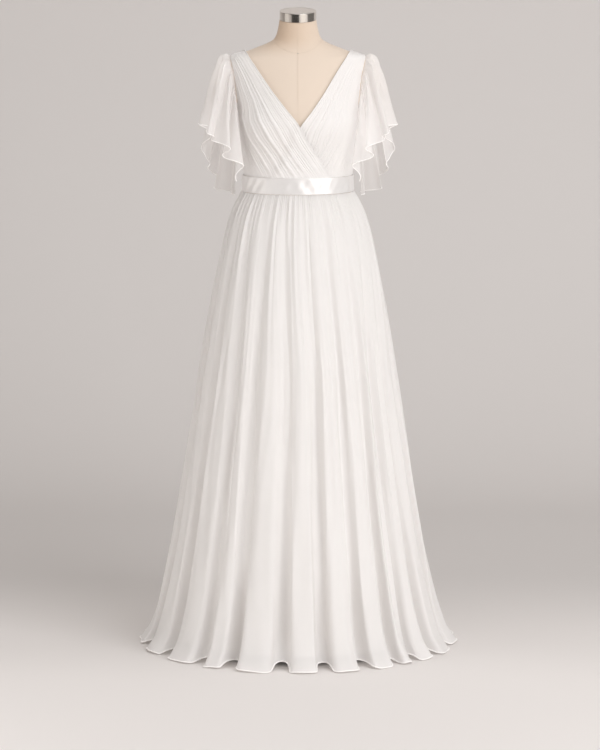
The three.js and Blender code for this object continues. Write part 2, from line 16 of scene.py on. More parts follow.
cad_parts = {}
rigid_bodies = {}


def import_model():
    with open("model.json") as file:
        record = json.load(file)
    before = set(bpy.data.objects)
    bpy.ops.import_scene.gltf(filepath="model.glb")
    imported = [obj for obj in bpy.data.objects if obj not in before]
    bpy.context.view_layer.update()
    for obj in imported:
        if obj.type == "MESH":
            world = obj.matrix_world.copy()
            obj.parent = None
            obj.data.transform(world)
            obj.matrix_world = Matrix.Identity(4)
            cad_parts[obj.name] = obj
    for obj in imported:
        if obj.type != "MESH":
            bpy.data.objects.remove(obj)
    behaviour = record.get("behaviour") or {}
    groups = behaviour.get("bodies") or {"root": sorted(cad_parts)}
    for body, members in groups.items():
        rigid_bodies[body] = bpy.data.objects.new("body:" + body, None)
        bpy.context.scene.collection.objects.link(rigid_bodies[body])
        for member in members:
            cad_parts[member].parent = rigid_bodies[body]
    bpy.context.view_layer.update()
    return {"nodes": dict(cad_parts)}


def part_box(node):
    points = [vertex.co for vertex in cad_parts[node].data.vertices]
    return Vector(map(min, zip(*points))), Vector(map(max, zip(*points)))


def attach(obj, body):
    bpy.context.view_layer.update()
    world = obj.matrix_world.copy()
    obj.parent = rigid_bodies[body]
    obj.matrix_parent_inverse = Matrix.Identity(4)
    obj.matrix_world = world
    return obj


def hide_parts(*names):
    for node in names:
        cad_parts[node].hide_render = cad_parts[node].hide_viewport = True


bl_info = {
    "name": "Wedding dress on a dress form",
    "version": (1, 0, 0),
    "blender": (4, 5, 0),
    "location": "View3D > Sidebar > Dress",
    "description": "Builds the chiffon gown, its satin band, the covered form and the studio",
    "category": "Object",
}

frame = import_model()
BODY = "root"
MM = 0.001

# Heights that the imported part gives
WAIST_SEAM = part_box("waistband")[0].z
BAND_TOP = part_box("waistband")[1].z
FORM_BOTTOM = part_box("form_torso")[0].z
LINING_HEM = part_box("skirt_lining")[0].z
# Sizes that the part's source has: the neck's top leans forward, with the cap on it
FORM_TOP, LEAN_START, NECK_BASE, SHOULDER, V_POINT = 1.536, 1.507, 1.49, 1.438, 1.279
SHOULDER_SEAM, UNDERARM_END = 1.446, 1.318
CAP_RADIUS, CAP_HEIGHT, CAP_TILT = 0.0445, 0.0214, math.radians(8)
SOCKET_RADIUS, PIN_RADIUS = 0.0164, 0.0011
SEAM_GAP = 0.0003
# How far the cloth lies off the form: over the chest, on the shoulders, and pressed into the waist seam
CHEST_CLEARANCE, SHOULDER_CLEARANCE, WAIST_CLEARANCE = 0.0024, 0.0018, 0.0012
# The height of a bodice panel's face above its clearance, and of the turned edge above that
CLOTH_RISE, TURNED_RISE = 0.0014, 0.0011
# The form's centre seams: where they end, their radius, and how far they and their stitches stand off
FRONT_SEAM_END, BACK_SEAM_END = 1.20, 1.36
SEAM_ROLL, THREAD_PROUD, STITCH_PROUD = 0.00028, 0.0001, 0.0004


class Table:
    """Rows of named columns, read as smooth curves that don't overshoot."""

    def __init__(self, columns, *rows):
        self.columns = columns.split()
        self.rows = np.array(rows, float)

    def column(self, name):
        return self.rows[:, self.columns.index(name)]

    def at(self, name, key, places):
        x = self.column(key)
        y = self.column(name)
        if x[0] > x[-1]:
            x, y = x[::-1], y[::-1]
        step = np.diff(x)
        slope = np.diff(y) / step
        tangent = np.zeros(len(x))
        tangent[0], tangent[-1] = slope[0], slope[-1]
        before, after = slope[:-1], slope[1:]
        same_way = before * after > 0
        total = np.where(same_way, before + after, 1)
        tangent[1:-1] = np.where(same_way, 2 * before * after / total, 0)
        places = np.clip(np.asarray(places, float), x[0], x[-1])
        i = np.clip(np.searchsorted(x, places, side="right") - 1, 0, len(step) - 1)
        t = (places - x[i]) / step[i]
        t2, t3 = t * t, t * t * t
        return (
            (2 * t3 - 3 * t2 + 1) * y[i]
            + (t3 - 2 * t2 + t) * step[i] * tangent[i]
            + (3 * t2 - 2 * t3) * y[i + 1]
            + (t3 - t2) * step[i] * tangent[i + 1]
        )


# The form's sections, as the part has them
FORM = Table(
    "height half_width front back",
    (FORM_TOP, 0.0445, 0.0445, 0.0445),
    (LEAN_START, 0.050, 0.047, 0.050),
    (NECK_BASE, 0.057, 0.050, 0.056),
    (1.478, 0.076, 0.053, 0.062),
    (1.470, 0.096, 0.055, 0.066),
    (1.458, 0.127, 0.060, 0.072),
    (1.446, 0.160, 0.066, 0.079),
    (SHOULDER, 0.164, 0.070, 0.083),
    (1.425, 0.165, 0.077, 0.088),
    (1.400, 0.162, 0.090, 0.096),
    (1.360, 0.155, 0.108, 0.103),
    (1.320, 0.146, 0.122, 0.104),
    (1.285, 0.1425, 0.127, 0.101),
    (1.250, 0.1395, 0.121, 0.096),
    (1.215, 0.136, 0.110, 0.091),
    (1.183, 0.132, 0.1025, 0.087),
    (BAND_TOP, 0.1302, 0.100, 0.086),
    (WAIST_SEAM, 0.1305, 0.101, 0.088),
    (1.060, 0.1455, 0.109, 0.100),
    (0.985, 0.1615, 0.118, 0.118),
    (0.900, 0.171, 0.122, 0.127),
    (0.830, 0.168, 0.118, 0.121),
    (0.792, 0.158, 0.108, 0.110),
    (FORM_BOTTOM, 0.138, 0.090, 0.092),
)
# Where each breast stands out, in degrees round and metres up, and by how much
BUST_ANGLE, BUST_SPREAD, BUST_HEIGHT, BUST_REACH, BUST_RISE = 37, 24, 1.284, 0.046, 0.013
# Where the neck's cover is sewn to the body's, from the centre front to the centre back
NECK_SEAM = Table(
    "angle height",
    (0, 1.4575), (9.5, 1.461), (19, 1.4665), (37, 1.4765),
    (60, 1.484), (78.5, 1.488), (120, 1.492), (180, 1.494),
)

# Edges of a front and a back bodice panel, row by row from the shoulder seam to the band.
FRONT_EDGES = Table(
    "row neck_height neck_x arm_height arm_angle",
    (0, 1.458, 0.127, 1.446, 90),
    (1, 1.4562, 0.126, 1.442, 80),
    (2, 1.450, 0.120, 1.434, 74),
    (3, 1.434, 0.108, 1.420, 70),
    (4, 1.400, 0.085, 1.400, 68),
    (5, 1.360, 0.058, 1.360, 69),
    (6, 1.320, 0.028, 1.320, 77),
    (7, 1.285, 0.001, 1.300, 89),
    (8, 1.250, -0.018, 1.250, 90),
    (9, 1.217, -0.037, 1.217, 90),
    (10, 1.183, -0.056, 1.183, 90),
    (11, BAND_TOP, -0.070, BAND_TOP, 90),
)
BACK_EDGES = Table(
    "row neck_height neck_angle arm_height arm_angle",
    (0, 1.458, 90, 1.446, 90),
    (1, 1.4562, 98, 1.442, 99),
    (2, 1.4538, 107, 1.4385, 102.5),
    (3, 1.449, 117, 1.433, 105.5),
    (4, 1.4425, 125, 1.427, 107.4),
    (5, 1.434, 132, 1.420, 109),
    (6, 1.412, 146, 1.400, 111),
    (7, 1.389, 158, 1.378, 111),
    (8, 1.367, 169, 1.356, 109),
    (9, 1.345, 180, 1.334, 106),
    (10, 1.315, 180, 1.315, 99),
    (11, 1.285, 180, 1.300, 91),
    (12, 1.250, 180, 1.250, 90),
    (13, 1.217, 180, 1.217, 90),
    (14, 1.183, 180, 1.183, 90),
    (15, BAND_TOP, 180, BAND_TOP, 90),
)
# The fronts' edges cross at the V's point, and the left one is tucked in under the right
V_POINT_SHIFT, UNDER_LAYER_TUCK = 0.006, 0.014
# How far the right one is lifted by the left one, at the waist too, and how gently the lift starts
OVERLAP_LIFT, WAIST_LIFT, OVERLAP_RAMP = 0.0046, 0.0024, 0.026
# How much a pleat slants on its way down, the crinkles between two pleats, and where a pleat's crest is
PLEAT_SLANT, CRINKLES, CREST = 1.15, 2, 0.74

# The skirt's sections, and how deep its main folds are
HEM_BOTTOM = 0.0008
SKIRT = Table(
    "height half_width front back fold",
    (WAIST_SEAM - SEAM_GAP, 0.1364, 0.1066, 0.0936, 0),
    (1.100, 0.146, 0.116, 0.104, 0.0008),
    (1.055, 0.165, 0.132, 0.124, 0.0025),
    (0.970, 0.185, 0.157, 0.157, 0.006),
    (0.795, 0.214, 0.198, 0.204, 0.011),
    (0.520, 0.253, 0.247, 0.256, 0.017),
    (0.230, 0.298, 0.300, 0.310, 0.022),
    (0.045, 0.341, 0.344, 0.352, 0.027),
    (HEM_BOTTOM, 0.366, 0.369, 0.376, 0.031),
)
# Valleys between the skirt's main folds: their angles at the hem, and how deep the folds are
VALLEYS = Table(
    "angle depth",
    (-59, 1), (-38.8, 0.85), (-27, 1.1), (-5.9, 1), (10, 1.1), (25.8, 1.05),
    (39.8, 0.75), (48.7, 0.8), (60, 1), (77, 1.05), (94, 0.9), (108, 1.1),
    (127, 0.95), (143, 1.05), (160, 1), (180, 1.1), (197, 0.85), (211, 1.1),
    (230, 1), (247, 0.9), (262, 1.1), (281, 1),
)
# How far the hem is lifted on the folds' crests, and how deep its ruffle is
HEM_LIFT, HEM_RUFFLE = 0.011, 0.004
# A gore runs from its first valley to its last. Its cut is its width at the hem, the length that all
# share, and its flat area, which tapers to the waist. Half a seam's gap is a small share of a fold.
Gore = namedtuple("Gore", "first last width area")
GORES = {
    "skirt_front": Gore(1, 6, 0.62, 0.585),
    "skirt_side_left": Gore(6, 11, 0.62, 0.535),
    "skirt_back_left": Gore(11, 15, 0.50, 0.500),
    "skirt_back_right": Gore(15, 19, 0.50, 0.480),
    "skirt_side_right": Gore(19, 23, 0.50, 0.505),
}
GORE_LENGTH, SEAM_SHARE = 1.13, 0.0006
# The lining's sections, its columns and rows, and how far its two faces stand off them
LINING_COLUMNS, LINING_ROWS = 220, 110
LINING_OUTSIDE, LINING_INSIDE = 0.0015, 0.0009
LINING = Table(
    "height half_width front back",
    (WAIST_SEAM - 0.005, 0.1336, 0.1037, 0.0907),
    (1.060, 0.1495, 0.115, 0.106),
    (0.965, 0.172, 0.141, 0.142),
    (0.790, 0.194, 0.176, 0.182),
    (0.400, 0.240, 0.239, 0.248),
    (LINING_HEM, 0.300, 0.302, 0.309),
)
# A flutter sleeve's hem, from the front of the underarm over the shoulder to its back
SLEEVE_HEM = Table(
    "around x y z",
    (0, 0.143, -0.082, 1.150),
    (0.07, 0.151, -0.096, 1.190),
    (0.14, 0.165, -0.104, 1.212),
    (0.28, 0.195, -0.104, 1.252),
    (0.40, 0.220, -0.070, 1.276),
    (0.50, 0.229, -0.008, 1.283),
    (0.60, 0.229, 0.052, 1.236),
    (0.72, 0.217, 0.088, 1.170),
    (0.86, 0.190, 0.096, 1.116),
    (1.00, 0.153, 0.084, 1.101),
)
SLEEVE_WAVES, ARMHOLE_GAP = 7, 0.0013
# The waistband's two faces off the form, its gap to the seams, and its columns, rows and turned edges' rows
BAND_INSIDE, BAND_OUTSIDE, BAND_GAP = 0.0032, 0.0057, 0.0001
BAND_COLUMNS, BAND_ROWS, BAND_TURN = 720, 26, 7


def smooth(a, b, t):
    """Goes from 0 at a to 1 at b, with a soft start and end."""
    s = np.clip((np.asarray(t, float) - a) / (b - a), 0, 1)
    return s * s * (3 - 2 * s)


def mix(a, b, t):
    return a + (b - a) * t


def waver(seed, places, waves, lowest=1, highest=8):
    """A smooth irregular value between about -1 and 1, which repeats after one whole turn of places."""
    random = np.random.default_rng(seed)
    total = np.zeros(np.shape(places))
    for _ in range(waves):
        count = random.integers(lowest, highest + 1)
        total = total + np.sin(2 * math.pi * (count * places + random.random()))
    return total / math.sqrt(waves)


def oval_point(table, angle, height, grow=0.0):
    """Points on a table's oval sections. Angle 0 is the centre front, 90 the wearer's left side."""
    a = np.radians(angle)
    c = np.cos(a)
    depth = np.where(c >= 0, table.at("front", "height", height), table.at("back", "height", height))
    width = table.at("half_width", "height", height)
    return np.stack([(width + grow) * np.sin(a), -(depth + grow) * c, height + 0 * a], -1)


def form_point(angle, height):
    """Points on the form's surface, with the bust."""
    wrapped = (angle + 180) % 360 - 180
    across = (np.abs(wrapped) - BUST_ANGLE) / BUST_SPREAD
    up = (height - BUST_HEIGHT) / BUST_REACH
    return oval_point(FORM, angle, height, BUST_RISE * np.exp(-across * across - up * up))


def off_form(angle, height, distance):
    """Points at a distance off the form's surface."""
    across = form_point(angle + 0.5, height) - form_point(angle - 0.5, height)
    along = form_point(angle, height + MM) - form_point(angle, height - MM)
    normal = np.cross(across, along)
    normal /= np.maximum(np.linalg.norm(normal, axis=-1, keepdims=True), 1e-12)
    return form_point(angle, height) + normal * np.asarray(distance)[..., None]


def angle_at(x, height):
    """The angle at which the form is a distance to the side of its middle."""
    share = np.clip(x / FORM.at("half_width", "height", height), -1, 1)
    return np.degrees(np.arcsin(share))


# Meshes


def link(name, data):
    made = bpy.data.objects.new(name, data)
    bpy.context.scene.collection.objects.link(made)
    return made


def new_mesh(name, vertices, faces, material):
    """A smooth mesh of one material."""
    mesh = bpy.data.meshes.new(name)
    mesh.from_pydata(vertices, [], faces)
    mesh.polygons.foreach_set("use_smooth", [True] * len(mesh.polygons))
    mesh.materials.append(material)
    mesh.update()
    return mesh


def sheet_object(name, points, material, wrap=False, inner=None):
    """A sheet round the body through a grid of points, rows first, with its own UV map in metres.

    Its faces show away from the upright axis. inner, a second grid, makes it a closed wall.
    """
    rows, columns = points.shape[:2]
    over = np.zeros((rows, columns + (1 if wrap else 0), 2))
    closed = np.concatenate([points, points[:, :1]], 1) if wrap else points
    across = np.linalg.norm(np.diff(closed, axis=1), axis=2)
    down = np.linalg.norm(np.diff(closed, axis=0), axis=2)
    over[:, 1:, 0] = np.cumsum(across.mean(0))[None, :]
    over[1:, :, 1] = np.cumsum(down.mean(1))[:, None]
    last = columns if wrap else columns - 1
    i, j = np.meshgrid(np.arange(last), np.arange(rows - 1))
    right, this_row, next_row = (i + 1) % columns, j * columns, (j + 1) * columns
    quads = np.stack([this_row + i, next_row + i, next_row + right, this_row + right], -1)
    corners = np.stack([over[j, i], over[j + 1, i], over[j + 1, i + 1], over[j, i + 1]], -2)
    quads, corners = quads.reshape(-1, 4), corners.reshape(-1, 4, 2)
    vertices = points.reshape(-1, 3)
    edge_a = vertices[quads[:, 1]] - vertices[quads[:, 0]]
    edge_b = vertices[quads[:, 3]] - vertices[quads[:, 0]]
    outward = vertices[quads].mean(1) * np.array([1, 1, 0])
    if np.einsum("ij,ij->i", np.cross(edge_a, edge_b), outward).sum() < 0:
        quads, corners = quads[:, ::-1], corners[:, ::-1]
    if inner is not None:
        vertices, quads, corners = closed_wall(vertices, inner.reshape(-1, 3), quads, corners)
    mesh = new_mesh(name, vertices.tolist(), quads.tolist(), material)
    uv = mesh.uv_layers.new(name="cloth")
    uv.data.foreach_set("uv", corners.reshape(-1).astype(np.float32))
    return link(name, mesh)


def closed_wall(outer, inner, quads, corners):
    """The faces of a wall between two grids, with its rims closed."""
    edges = [(int(a), int(b)) for quad in quads for a, b in zip(quad, np.roll(quad, -1))]
    known = set(edges)
    count = len(outer)
    sides = np.array([(b, a, a + count, b + count) for a, b in edges if (b, a) not in known])
    side_corners = np.zeros((len(sides), 4, 2))
    side_corners[:, 1:3, 0] = side_corners[:, 2:, 1] = 2 * MM
    return (
        np.concatenate([outer, inner]),
        np.concatenate([quads, quads[:, ::-1] + count, sides]),
        np.concatenate([corners, corners[:, ::-1], side_corners]),
    )


def ringed_mesh(name, rings, material, tip, tail=None):
    """A mesh through rings of points from the top down, closed by a tip above and a tail below."""
    rows, columns = rings.shape[:2]
    vertices = rings.reshape(-1, 3).tolist() + [tip]
    low = (rows - 1) * columns
    faces = []
    for k in range(columns):
        n = (k + 1) % columns
        faces.append((len(vertices) - 1, k, n))
        faces += [(a + k, a + columns + k, a + columns + n, a + n) for a in range(0, low, columns)]
        if tail is not None:
            faces.append((len(vertices), low + n, low + k))
    if tail is not None:
        vertices.append(tail)
    return new_mesh(name, vertices, faces, material)


def finish_piece(piece, *nodes, slot):
    """A finished piece rides on the body and stands for its nodes. Its slot is not used."""
    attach(piece, BODY)
    if nodes:
        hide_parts(*nodes)


# Node trees


def feed(tree, node, values):
    """Sets a node's inputs, by name or number, to plain values or to other nodes' sockets."""
    for key, value in values.items():
        if isinstance(value, bpy.types.NodeSocket):
            tree.links.new(value, node.inputs[key])
        else:
            node.inputs[key].default_value = value


def add(tree, kind, values, **modes):
    """A new node with its modes chosen and its inputs set. Gives its outputs."""
    node = tree.nodes.new(kind)
    for name, mode in modes.items():
        setattr(node, name, mode)
    feed(tree, node, values)
    return node.outputs


def calculate(tree, operation, *values):
    return add(tree, "ShaderNodeMath", dict(enumerate(values)), operation=operation)[0]


def scaled(tree, vector, scale):
    return add(tree, "ShaderNodeVectorMath", {0: vector, "Scale": scale}, operation="SCALE")[0]


def new_group(name, kind, inputs, output):
    """An empty node group: its tree, what it is given, and the node that takes its result.

    inputs holds each socket's kind and default under its name, and output is a name and a kind.
    """
    tree = bpy.data.node_groups.new(name, kind)
    for label, (socket, default) in inputs.items():
        made = tree.interface.new_socket(name=label, in_out="INPUT", socket_type="NodeSocket" + socket)
        if default is not None:
            made.default_value = default
    tree.interface.new_socket(name=output[0], in_out="OUTPUT", socket_type="NodeSocket" + output[1])
    return tree, tree.nodes.new("NodeGroupInput").outputs, tree.nodes.new("NodeGroupOutput")


# Shader groups


def weave_group():
    """Over-and-under threads, as a height."""
    tree, given, result = new_group(
        "thread weave",
        "ShaderNodeTree",
        {"Vector": ("Vector", None), "Threads per metre": ("Float", 1400.0), "Slub": ("Float", 0.3)},
        ("Height", "Float"),
    )
    threads = scaled(tree, given["Vector"], given["Threads per metre"])
    parts = add(tree, "ShaderNodeSeparateXYZ", {0: threads})
    warp = calculate(tree, "SINE", calculate(tree, "MULTIPLY", parts[0], math.pi))
    weft = calculate(tree, "SINE", calculate(tree, "MULTIPLY", parts[1], math.pi))
    slub = add(tree, "ShaderNodeTexNoise", {"Vector": threads, "Scale": 0.35, "Detail": 2})
    uneven = calculate(tree, "MULTIPLY", slub["Fac"], given["Slub"])
    crossing = calculate(tree, "MULTIPLY", warp, weft)
    feed(tree, result, {"Height": calculate(tree, "ADD", crossing, uneven)})


def cloud_group():
    """A slow change of tone over a surface, around one."""
    tree, given, result = new_group(
        "soft cloud",
        "ShaderNodeTree",
        {"Vector": ("Vector", None), "Patches per metre": ("Float", 12.0), "Strength": ("Float", 0.03)},
        ("Tone", "Float"),
    )
    where = {"Vector": given["Vector"], "Scale": given["Patches per metre"], "Detail": 3}
    noise = add(tree, "ShaderNodeTexNoise", where)
    centred = calculate(tree, "SUBTRACT", noise["Fac"], 0.5)
    swing = calculate(tree, "MULTIPLY", centred, given["Strength"])
    feed(tree, result, {"Tone": calculate(tree, "ADD", swing, 1.0)})


# Materials


class Finish:
    """A material whose colour is toned by a slow cloud over the surface."""

    def __init__(self, name, colour, patches, strength, inputs):
        self.material = bpy.data.materials.new(name)
        self.material.use_nodes = True
        self.tree = self.material.node_tree
        self.shader = self.tree.nodes["Principled BSDF"]
        self.places = self.tree.nodes.new("ShaderNodeTexCoord").outputs
        cloud = {"Vector": self.places["Object"], "Patches per metre": patches, "Strength": strength}
        self.tone = self.group("soft cloud", cloud)["Tone"]
        self.colour = scaled(self.tree, colour[:3], self.tone)
        self.give({"Base Color": self.colour, **inputs})

    def give(self, inputs):
        feed(self.tree, self.shader, inputs)

    def group(self, name, values):
        return add(self.tree, "ShaderNodeGroup", values, node_tree=bpy.data.node_groups[name])

    def bump(self, height, strength, distance):
        values = {"Height": height, "Strength": strength, "Distance": distance}
        self.give({"Normal": add(self.tree, "ShaderNodeBump", values)["Normal"]})

    def weave(self, coordinates, threads, strength, relief):
        """Woven threads as relief."""
        values = {"Vector": self.places[coordinates], "Threads per metre": threads}
        self.bump(self.group("thread weave", values)["Height"], strength, relief)

    def blend(self, other, share):
        """Mixes a share of another shader into the surface."""
        ends = {0: share, 1: self.shader.outputs["BSDF"], 2: other["BSDF"]}
        mixed = add(self.tree, "ShaderNodeMixShader", ends)
        feed(self.tree, self.tree.nodes["Material Output"], {"Surface": mixed["Shader"]})


# A cloth's roughness and sheen, its threads to the metre, and how deep its weave is
Cloth = namedtuple("Cloth", "roughness sheen threads relief")
JERSEY = Cloth(0.85, 0.25, 1500.0, 0.00012)
SEAM_THREAD = Cloth(0.9, 0.1, 2500.0, 0.00004)
CHIFFON = Cloth(0.8, 0.35, 2000.0, 0.00008)
ROLLED_CHIFFON = Cloth(0.75, 0.4, 2000.0, 0.00004)
PLAIN_LINING = Cloth(0.7, 0.15, 2200.0, 0.00005)
# How far each chiffon can be seen through, and how much soft light it lets by
SHEERNESS = {"pleated": (0, 0.16), "skirt": (0.12, 0.24), "sleeve": (0.32, 0.3)}


def cloth_material(name, colour, cloth, see_through=0.0, light_through=0.0, coordinates="UV"):
    """Woven cloth. Sheer cloth has gaps to see through, and lets soft light by."""
    inputs = {"Roughness": cloth.roughness, "Specular IOR Level": 0.25}
    inputs.update({"Sheen Weight": cloth.sheen, "Sheen Roughness": 0.4})
    made = Finish(name, colour, 9.0, 0.035, inputs)
    made.weave(coordinates, cloth.threads, 0.35, cloth.relief)
    if see_through:
        cover = calculate(made.tree, "MULTIPLY", made.tone, 1 - see_through)
        made.give({"Alpha": calculate(made.tree, "MINIMUM", cover, 1.0)})
    if light_through:
        made.blend(add(made.tree, "ShaderNodeBsdfTranslucent", {"Color": made.colour}), light_through)
    return made


def paint_neck_shade(linen):
    """The form's cover is painted a little darker and warmer up its neck, most at its right side: painted
    shade for the side away from the key light.
    """
    tree = linen.tree
    parts = add(tree, "ShaderNodeSeparateXYZ", {0: linen.places["Object"]})
    shares = []
    for axis, start, end, low in (("Z", 1.445, 1.5, 0), ("X", 0.06, -0.05, 0.3)):
        ends = {"Value": parts[axis], "From Min": start, "From Max": end, "To Min": low, "To Max": 1}
        shares.append(add(tree, "ShaderNodeMapRange", ends, interpolation_type="SMOOTHSTEP")["Result"])
    # Painted shade: up the neck the linen is multiplied by this darker, warmer colour.
    neck_shade = {0: calculate(tree, "MULTIPLY", *shares), 6: linen.colour, 7: (0.86, 0.785, 0.705, 1)}
    mixed = add(tree, "ShaderNodeMix", neck_shade, data_type="RGBA", blend_type="MULTIPLY")
    linen.give({"Base Color": mixed[2]})


def satin_material(colour):
    inputs = {"Roughness": 0.37, "Metallic": 0.28, "Specular IOR Level": 0.5, "Sheen Weight": 0.2}
    Finish("satin band", colour, 20.0, 0.05, inputs).weave("UV", 2600.0, 0.2, 0.00006)


def metal_material(name, colour, roughness, lines):
    """Metal brushed round its axis: fine lines at slightly different heights."""
    metal = Finish(name, colour, 40.0, 0.08, {"Metallic": 1.0})
    tree = metal.tree
    squeezed = add(tree, "ShaderNodeMapping", {"Vector": metal.places["Object"], "Scale": (6, 6, lines)})
    noise = add(tree, "ShaderNodeTexNoise", {"Vector": squeezed["Vector"], "Scale": 1.0, "Detail": 4})
    ends = {"Value": noise["Fac"], "To Min": roughness * 0.7, "To Max": roughness + 0.09}
    metal.give({"Roughness": add(tree, "ShaderNodeMapRange", ends)["Result"]})
    metal.bump(noise["Fac"], 0.25, 0.00008)
    return metal.material


# Geometry trees, which grow pieces along lines


def line_tree(name, sizes):
    """A tree that starts with the curve of a plain mesh's edges."""
    inputs = {"Geometry": ("Geometry", None), **sizes, "Material": ("Material", None)}
    tree, given, result = new_group(name, "GeometryNodeTree", inputs, ("Geometry", "Geometry"))
    return tree, given, result, add(tree, "GeometryNodeMeshToCurve", {"Mesh": given["Geometry"]})["Curve"]


def end_tree(tree, given, result, geometry, *kinds):
    """Passes the geometry through plain nodes, and gives it its material."""
    for kind in kinds:
        geometry = add(tree, "GeometryNode" + kind, {"Geometry": geometry})["Geometry"]
    painted = add(tree, "GeometryNodeSetMaterial", {"Geometry": geometry, "Material": given["Material"]})
    feed(tree, result, {"Geometry": painted["Geometry"]})


def rolled_edge_tree():
    """A round roll of cloth along a line, as a narrow rolled hem has."""
    sizes = {"Radius": ("Float", 0.001), "Sides": ("Int", 8)}
    tree, given, result, curve = line_tree("rolled edge", sizes)
    ring = {"Radius": given["Radius"], "Resolution": given["Sides"]}
    ring = add(tree, "GeometryNodeCurvePrimitiveCircle", ring)["Curve"]
    swept = {"Curve": curve, "Profile Curve": ring, "Fill Caps": True}
    swept = add(tree, "GeometryNodeCurveToMesh", swept)["Mesh"]
    end_tree(tree, given, result, swept, "SetShadeSmooth", "RealizeInstances")


def stitch_tree():
    """Evenly spaced stitches that lie along a line."""
    sizes = {"Spacing": 0.004, "Stitch length": 0.0026, "Thread radius": 0.00028}
    sizes = {name: ("Float", size) for name, size in sizes.items()}
    tree, given, result, curve = line_tree("stitch row", sizes)
    even = {"Curve": curve, "Length": given["Spacing"]}
    even = add(tree, "GeometryNodeResampleCurve", even, mode="LENGTH")["Curve"]
    places = add(tree, "GeometryNodeCurveToPoints", {"Curve": even}, mode="EVALUATED")
    along = {"Vector": places["Tangent"]}
    along = add(tree, "FunctionNodeAlignRotationToVector", along, axis="Z")["Rotation"]
    stitch = {"Vertices": 6, "Depth": given["Stitch length"], "Radius": given["Thread radius"]}
    stitch = add(tree, "GeometryNodeMeshCylinder", stitch)["Mesh"]
    placed = {"Points": places["Points"], "Instance": stitch, "Rotation": along}
    placed = add(tree, "GeometryNodeInstanceOnPoints", placed)["Instances"]
    end_tree(tree, given, result, placed, "RealizeInstances", "SetShadeSmooth")


def grown_along(name, lines, tree_name, material, slot, **sizes):
    """A finished plain mesh that a geometry tree makes along lines: each its points, and if it closes."""
    vertices, edges = [], []
    for points, closed in lines:
        start = len(vertices)
        vertices += [tuple(p) for p in points]
        edges += [(start + k, start + k + 1) for k in range(len(points) - 1)]
        if closed:
            edges.append((len(vertices) - 1, start))
    mesh = bpy.data.meshes.new(name + ".line")
    mesh.from_pydata(vertices, edges, [])
    carrier = link(name + ".line", mesh)
    modifier = carrier.modifiers.new("tree", "NODES")
    modifier.node_group = bpy.data.node_groups[tree_name]
    sizes["Material"] = material
    for item in modifier.node_group.interface.items_tree:
        key = item.name.replace(" ", "_")
        if item.in_out == "INPUT" and key in sizes:
            modifier[item.identifier] = sizes[key]
    bpy.context.view_layer.update()
    evaluated = carrier.evaluated_get(bpy.context.evaluated_depsgraph_get())
    made_mesh = bpy.data.meshes.new_from_object(evaluated)
    made_mesh.name = name
    bpy.data.objects.remove(carrier)
    bpy.data.meshes.remove(mesh)
    finish_piece(link(name, made_mesh), slot=slot)


roll_along = functools.partial(grown_along, tree_name="rolled edge")


# Dress form


def torso_rings(columns):
    """Rings of the form's surface, close together up the neck and over the shoulders."""
    heights = np.concatenate([
        np.linspace(FORM_TOP, NECK_BASE, 14, endpoint=False),
        np.linspace(NECK_BASE, SHOULDER, 30, endpoint=False),
        np.linspace(SHOULDER, FORM_BOTTOM, 190),
    ])
    angles = np.linspace(0, 360, columns, endpoint=False)
    a, z = np.meshgrid(angles, heights)
    return lean_neck(form_point(a, z))


def lean_neck(points):
    """The neck's top leans forward, and the cap with it."""
    share = np.clip((points[..., 2] - LEAN_START) / (FORM_TOP - LEAN_START), 0, 1)
    leaned = points.copy()
    leaned[..., 2] += points[..., 1] * math.sin(CAP_TILT) * share
    leaned[..., 1] *= mix(1, math.cos(CAP_TILT), share)
    return leaned


def seam_line(angle, top, bottom, count, proud):
    """An upright seam of the cover, as an open line."""
    heights = np.linspace(top, bottom, count)
    return lean_neck(off_form(np.full(count, float(angle)), heights, proud)), False


def neck_seam_line(proud):
    """The seam where the neck cover joins the body, as a closed line. It dips at the centre front."""
    angles = np.linspace(-180, 180, 120, endpoint=False)
    heights = NECK_SEAM.at("height", "angle", np.abs(angles))
    return off_form(angles, heights, proud), True


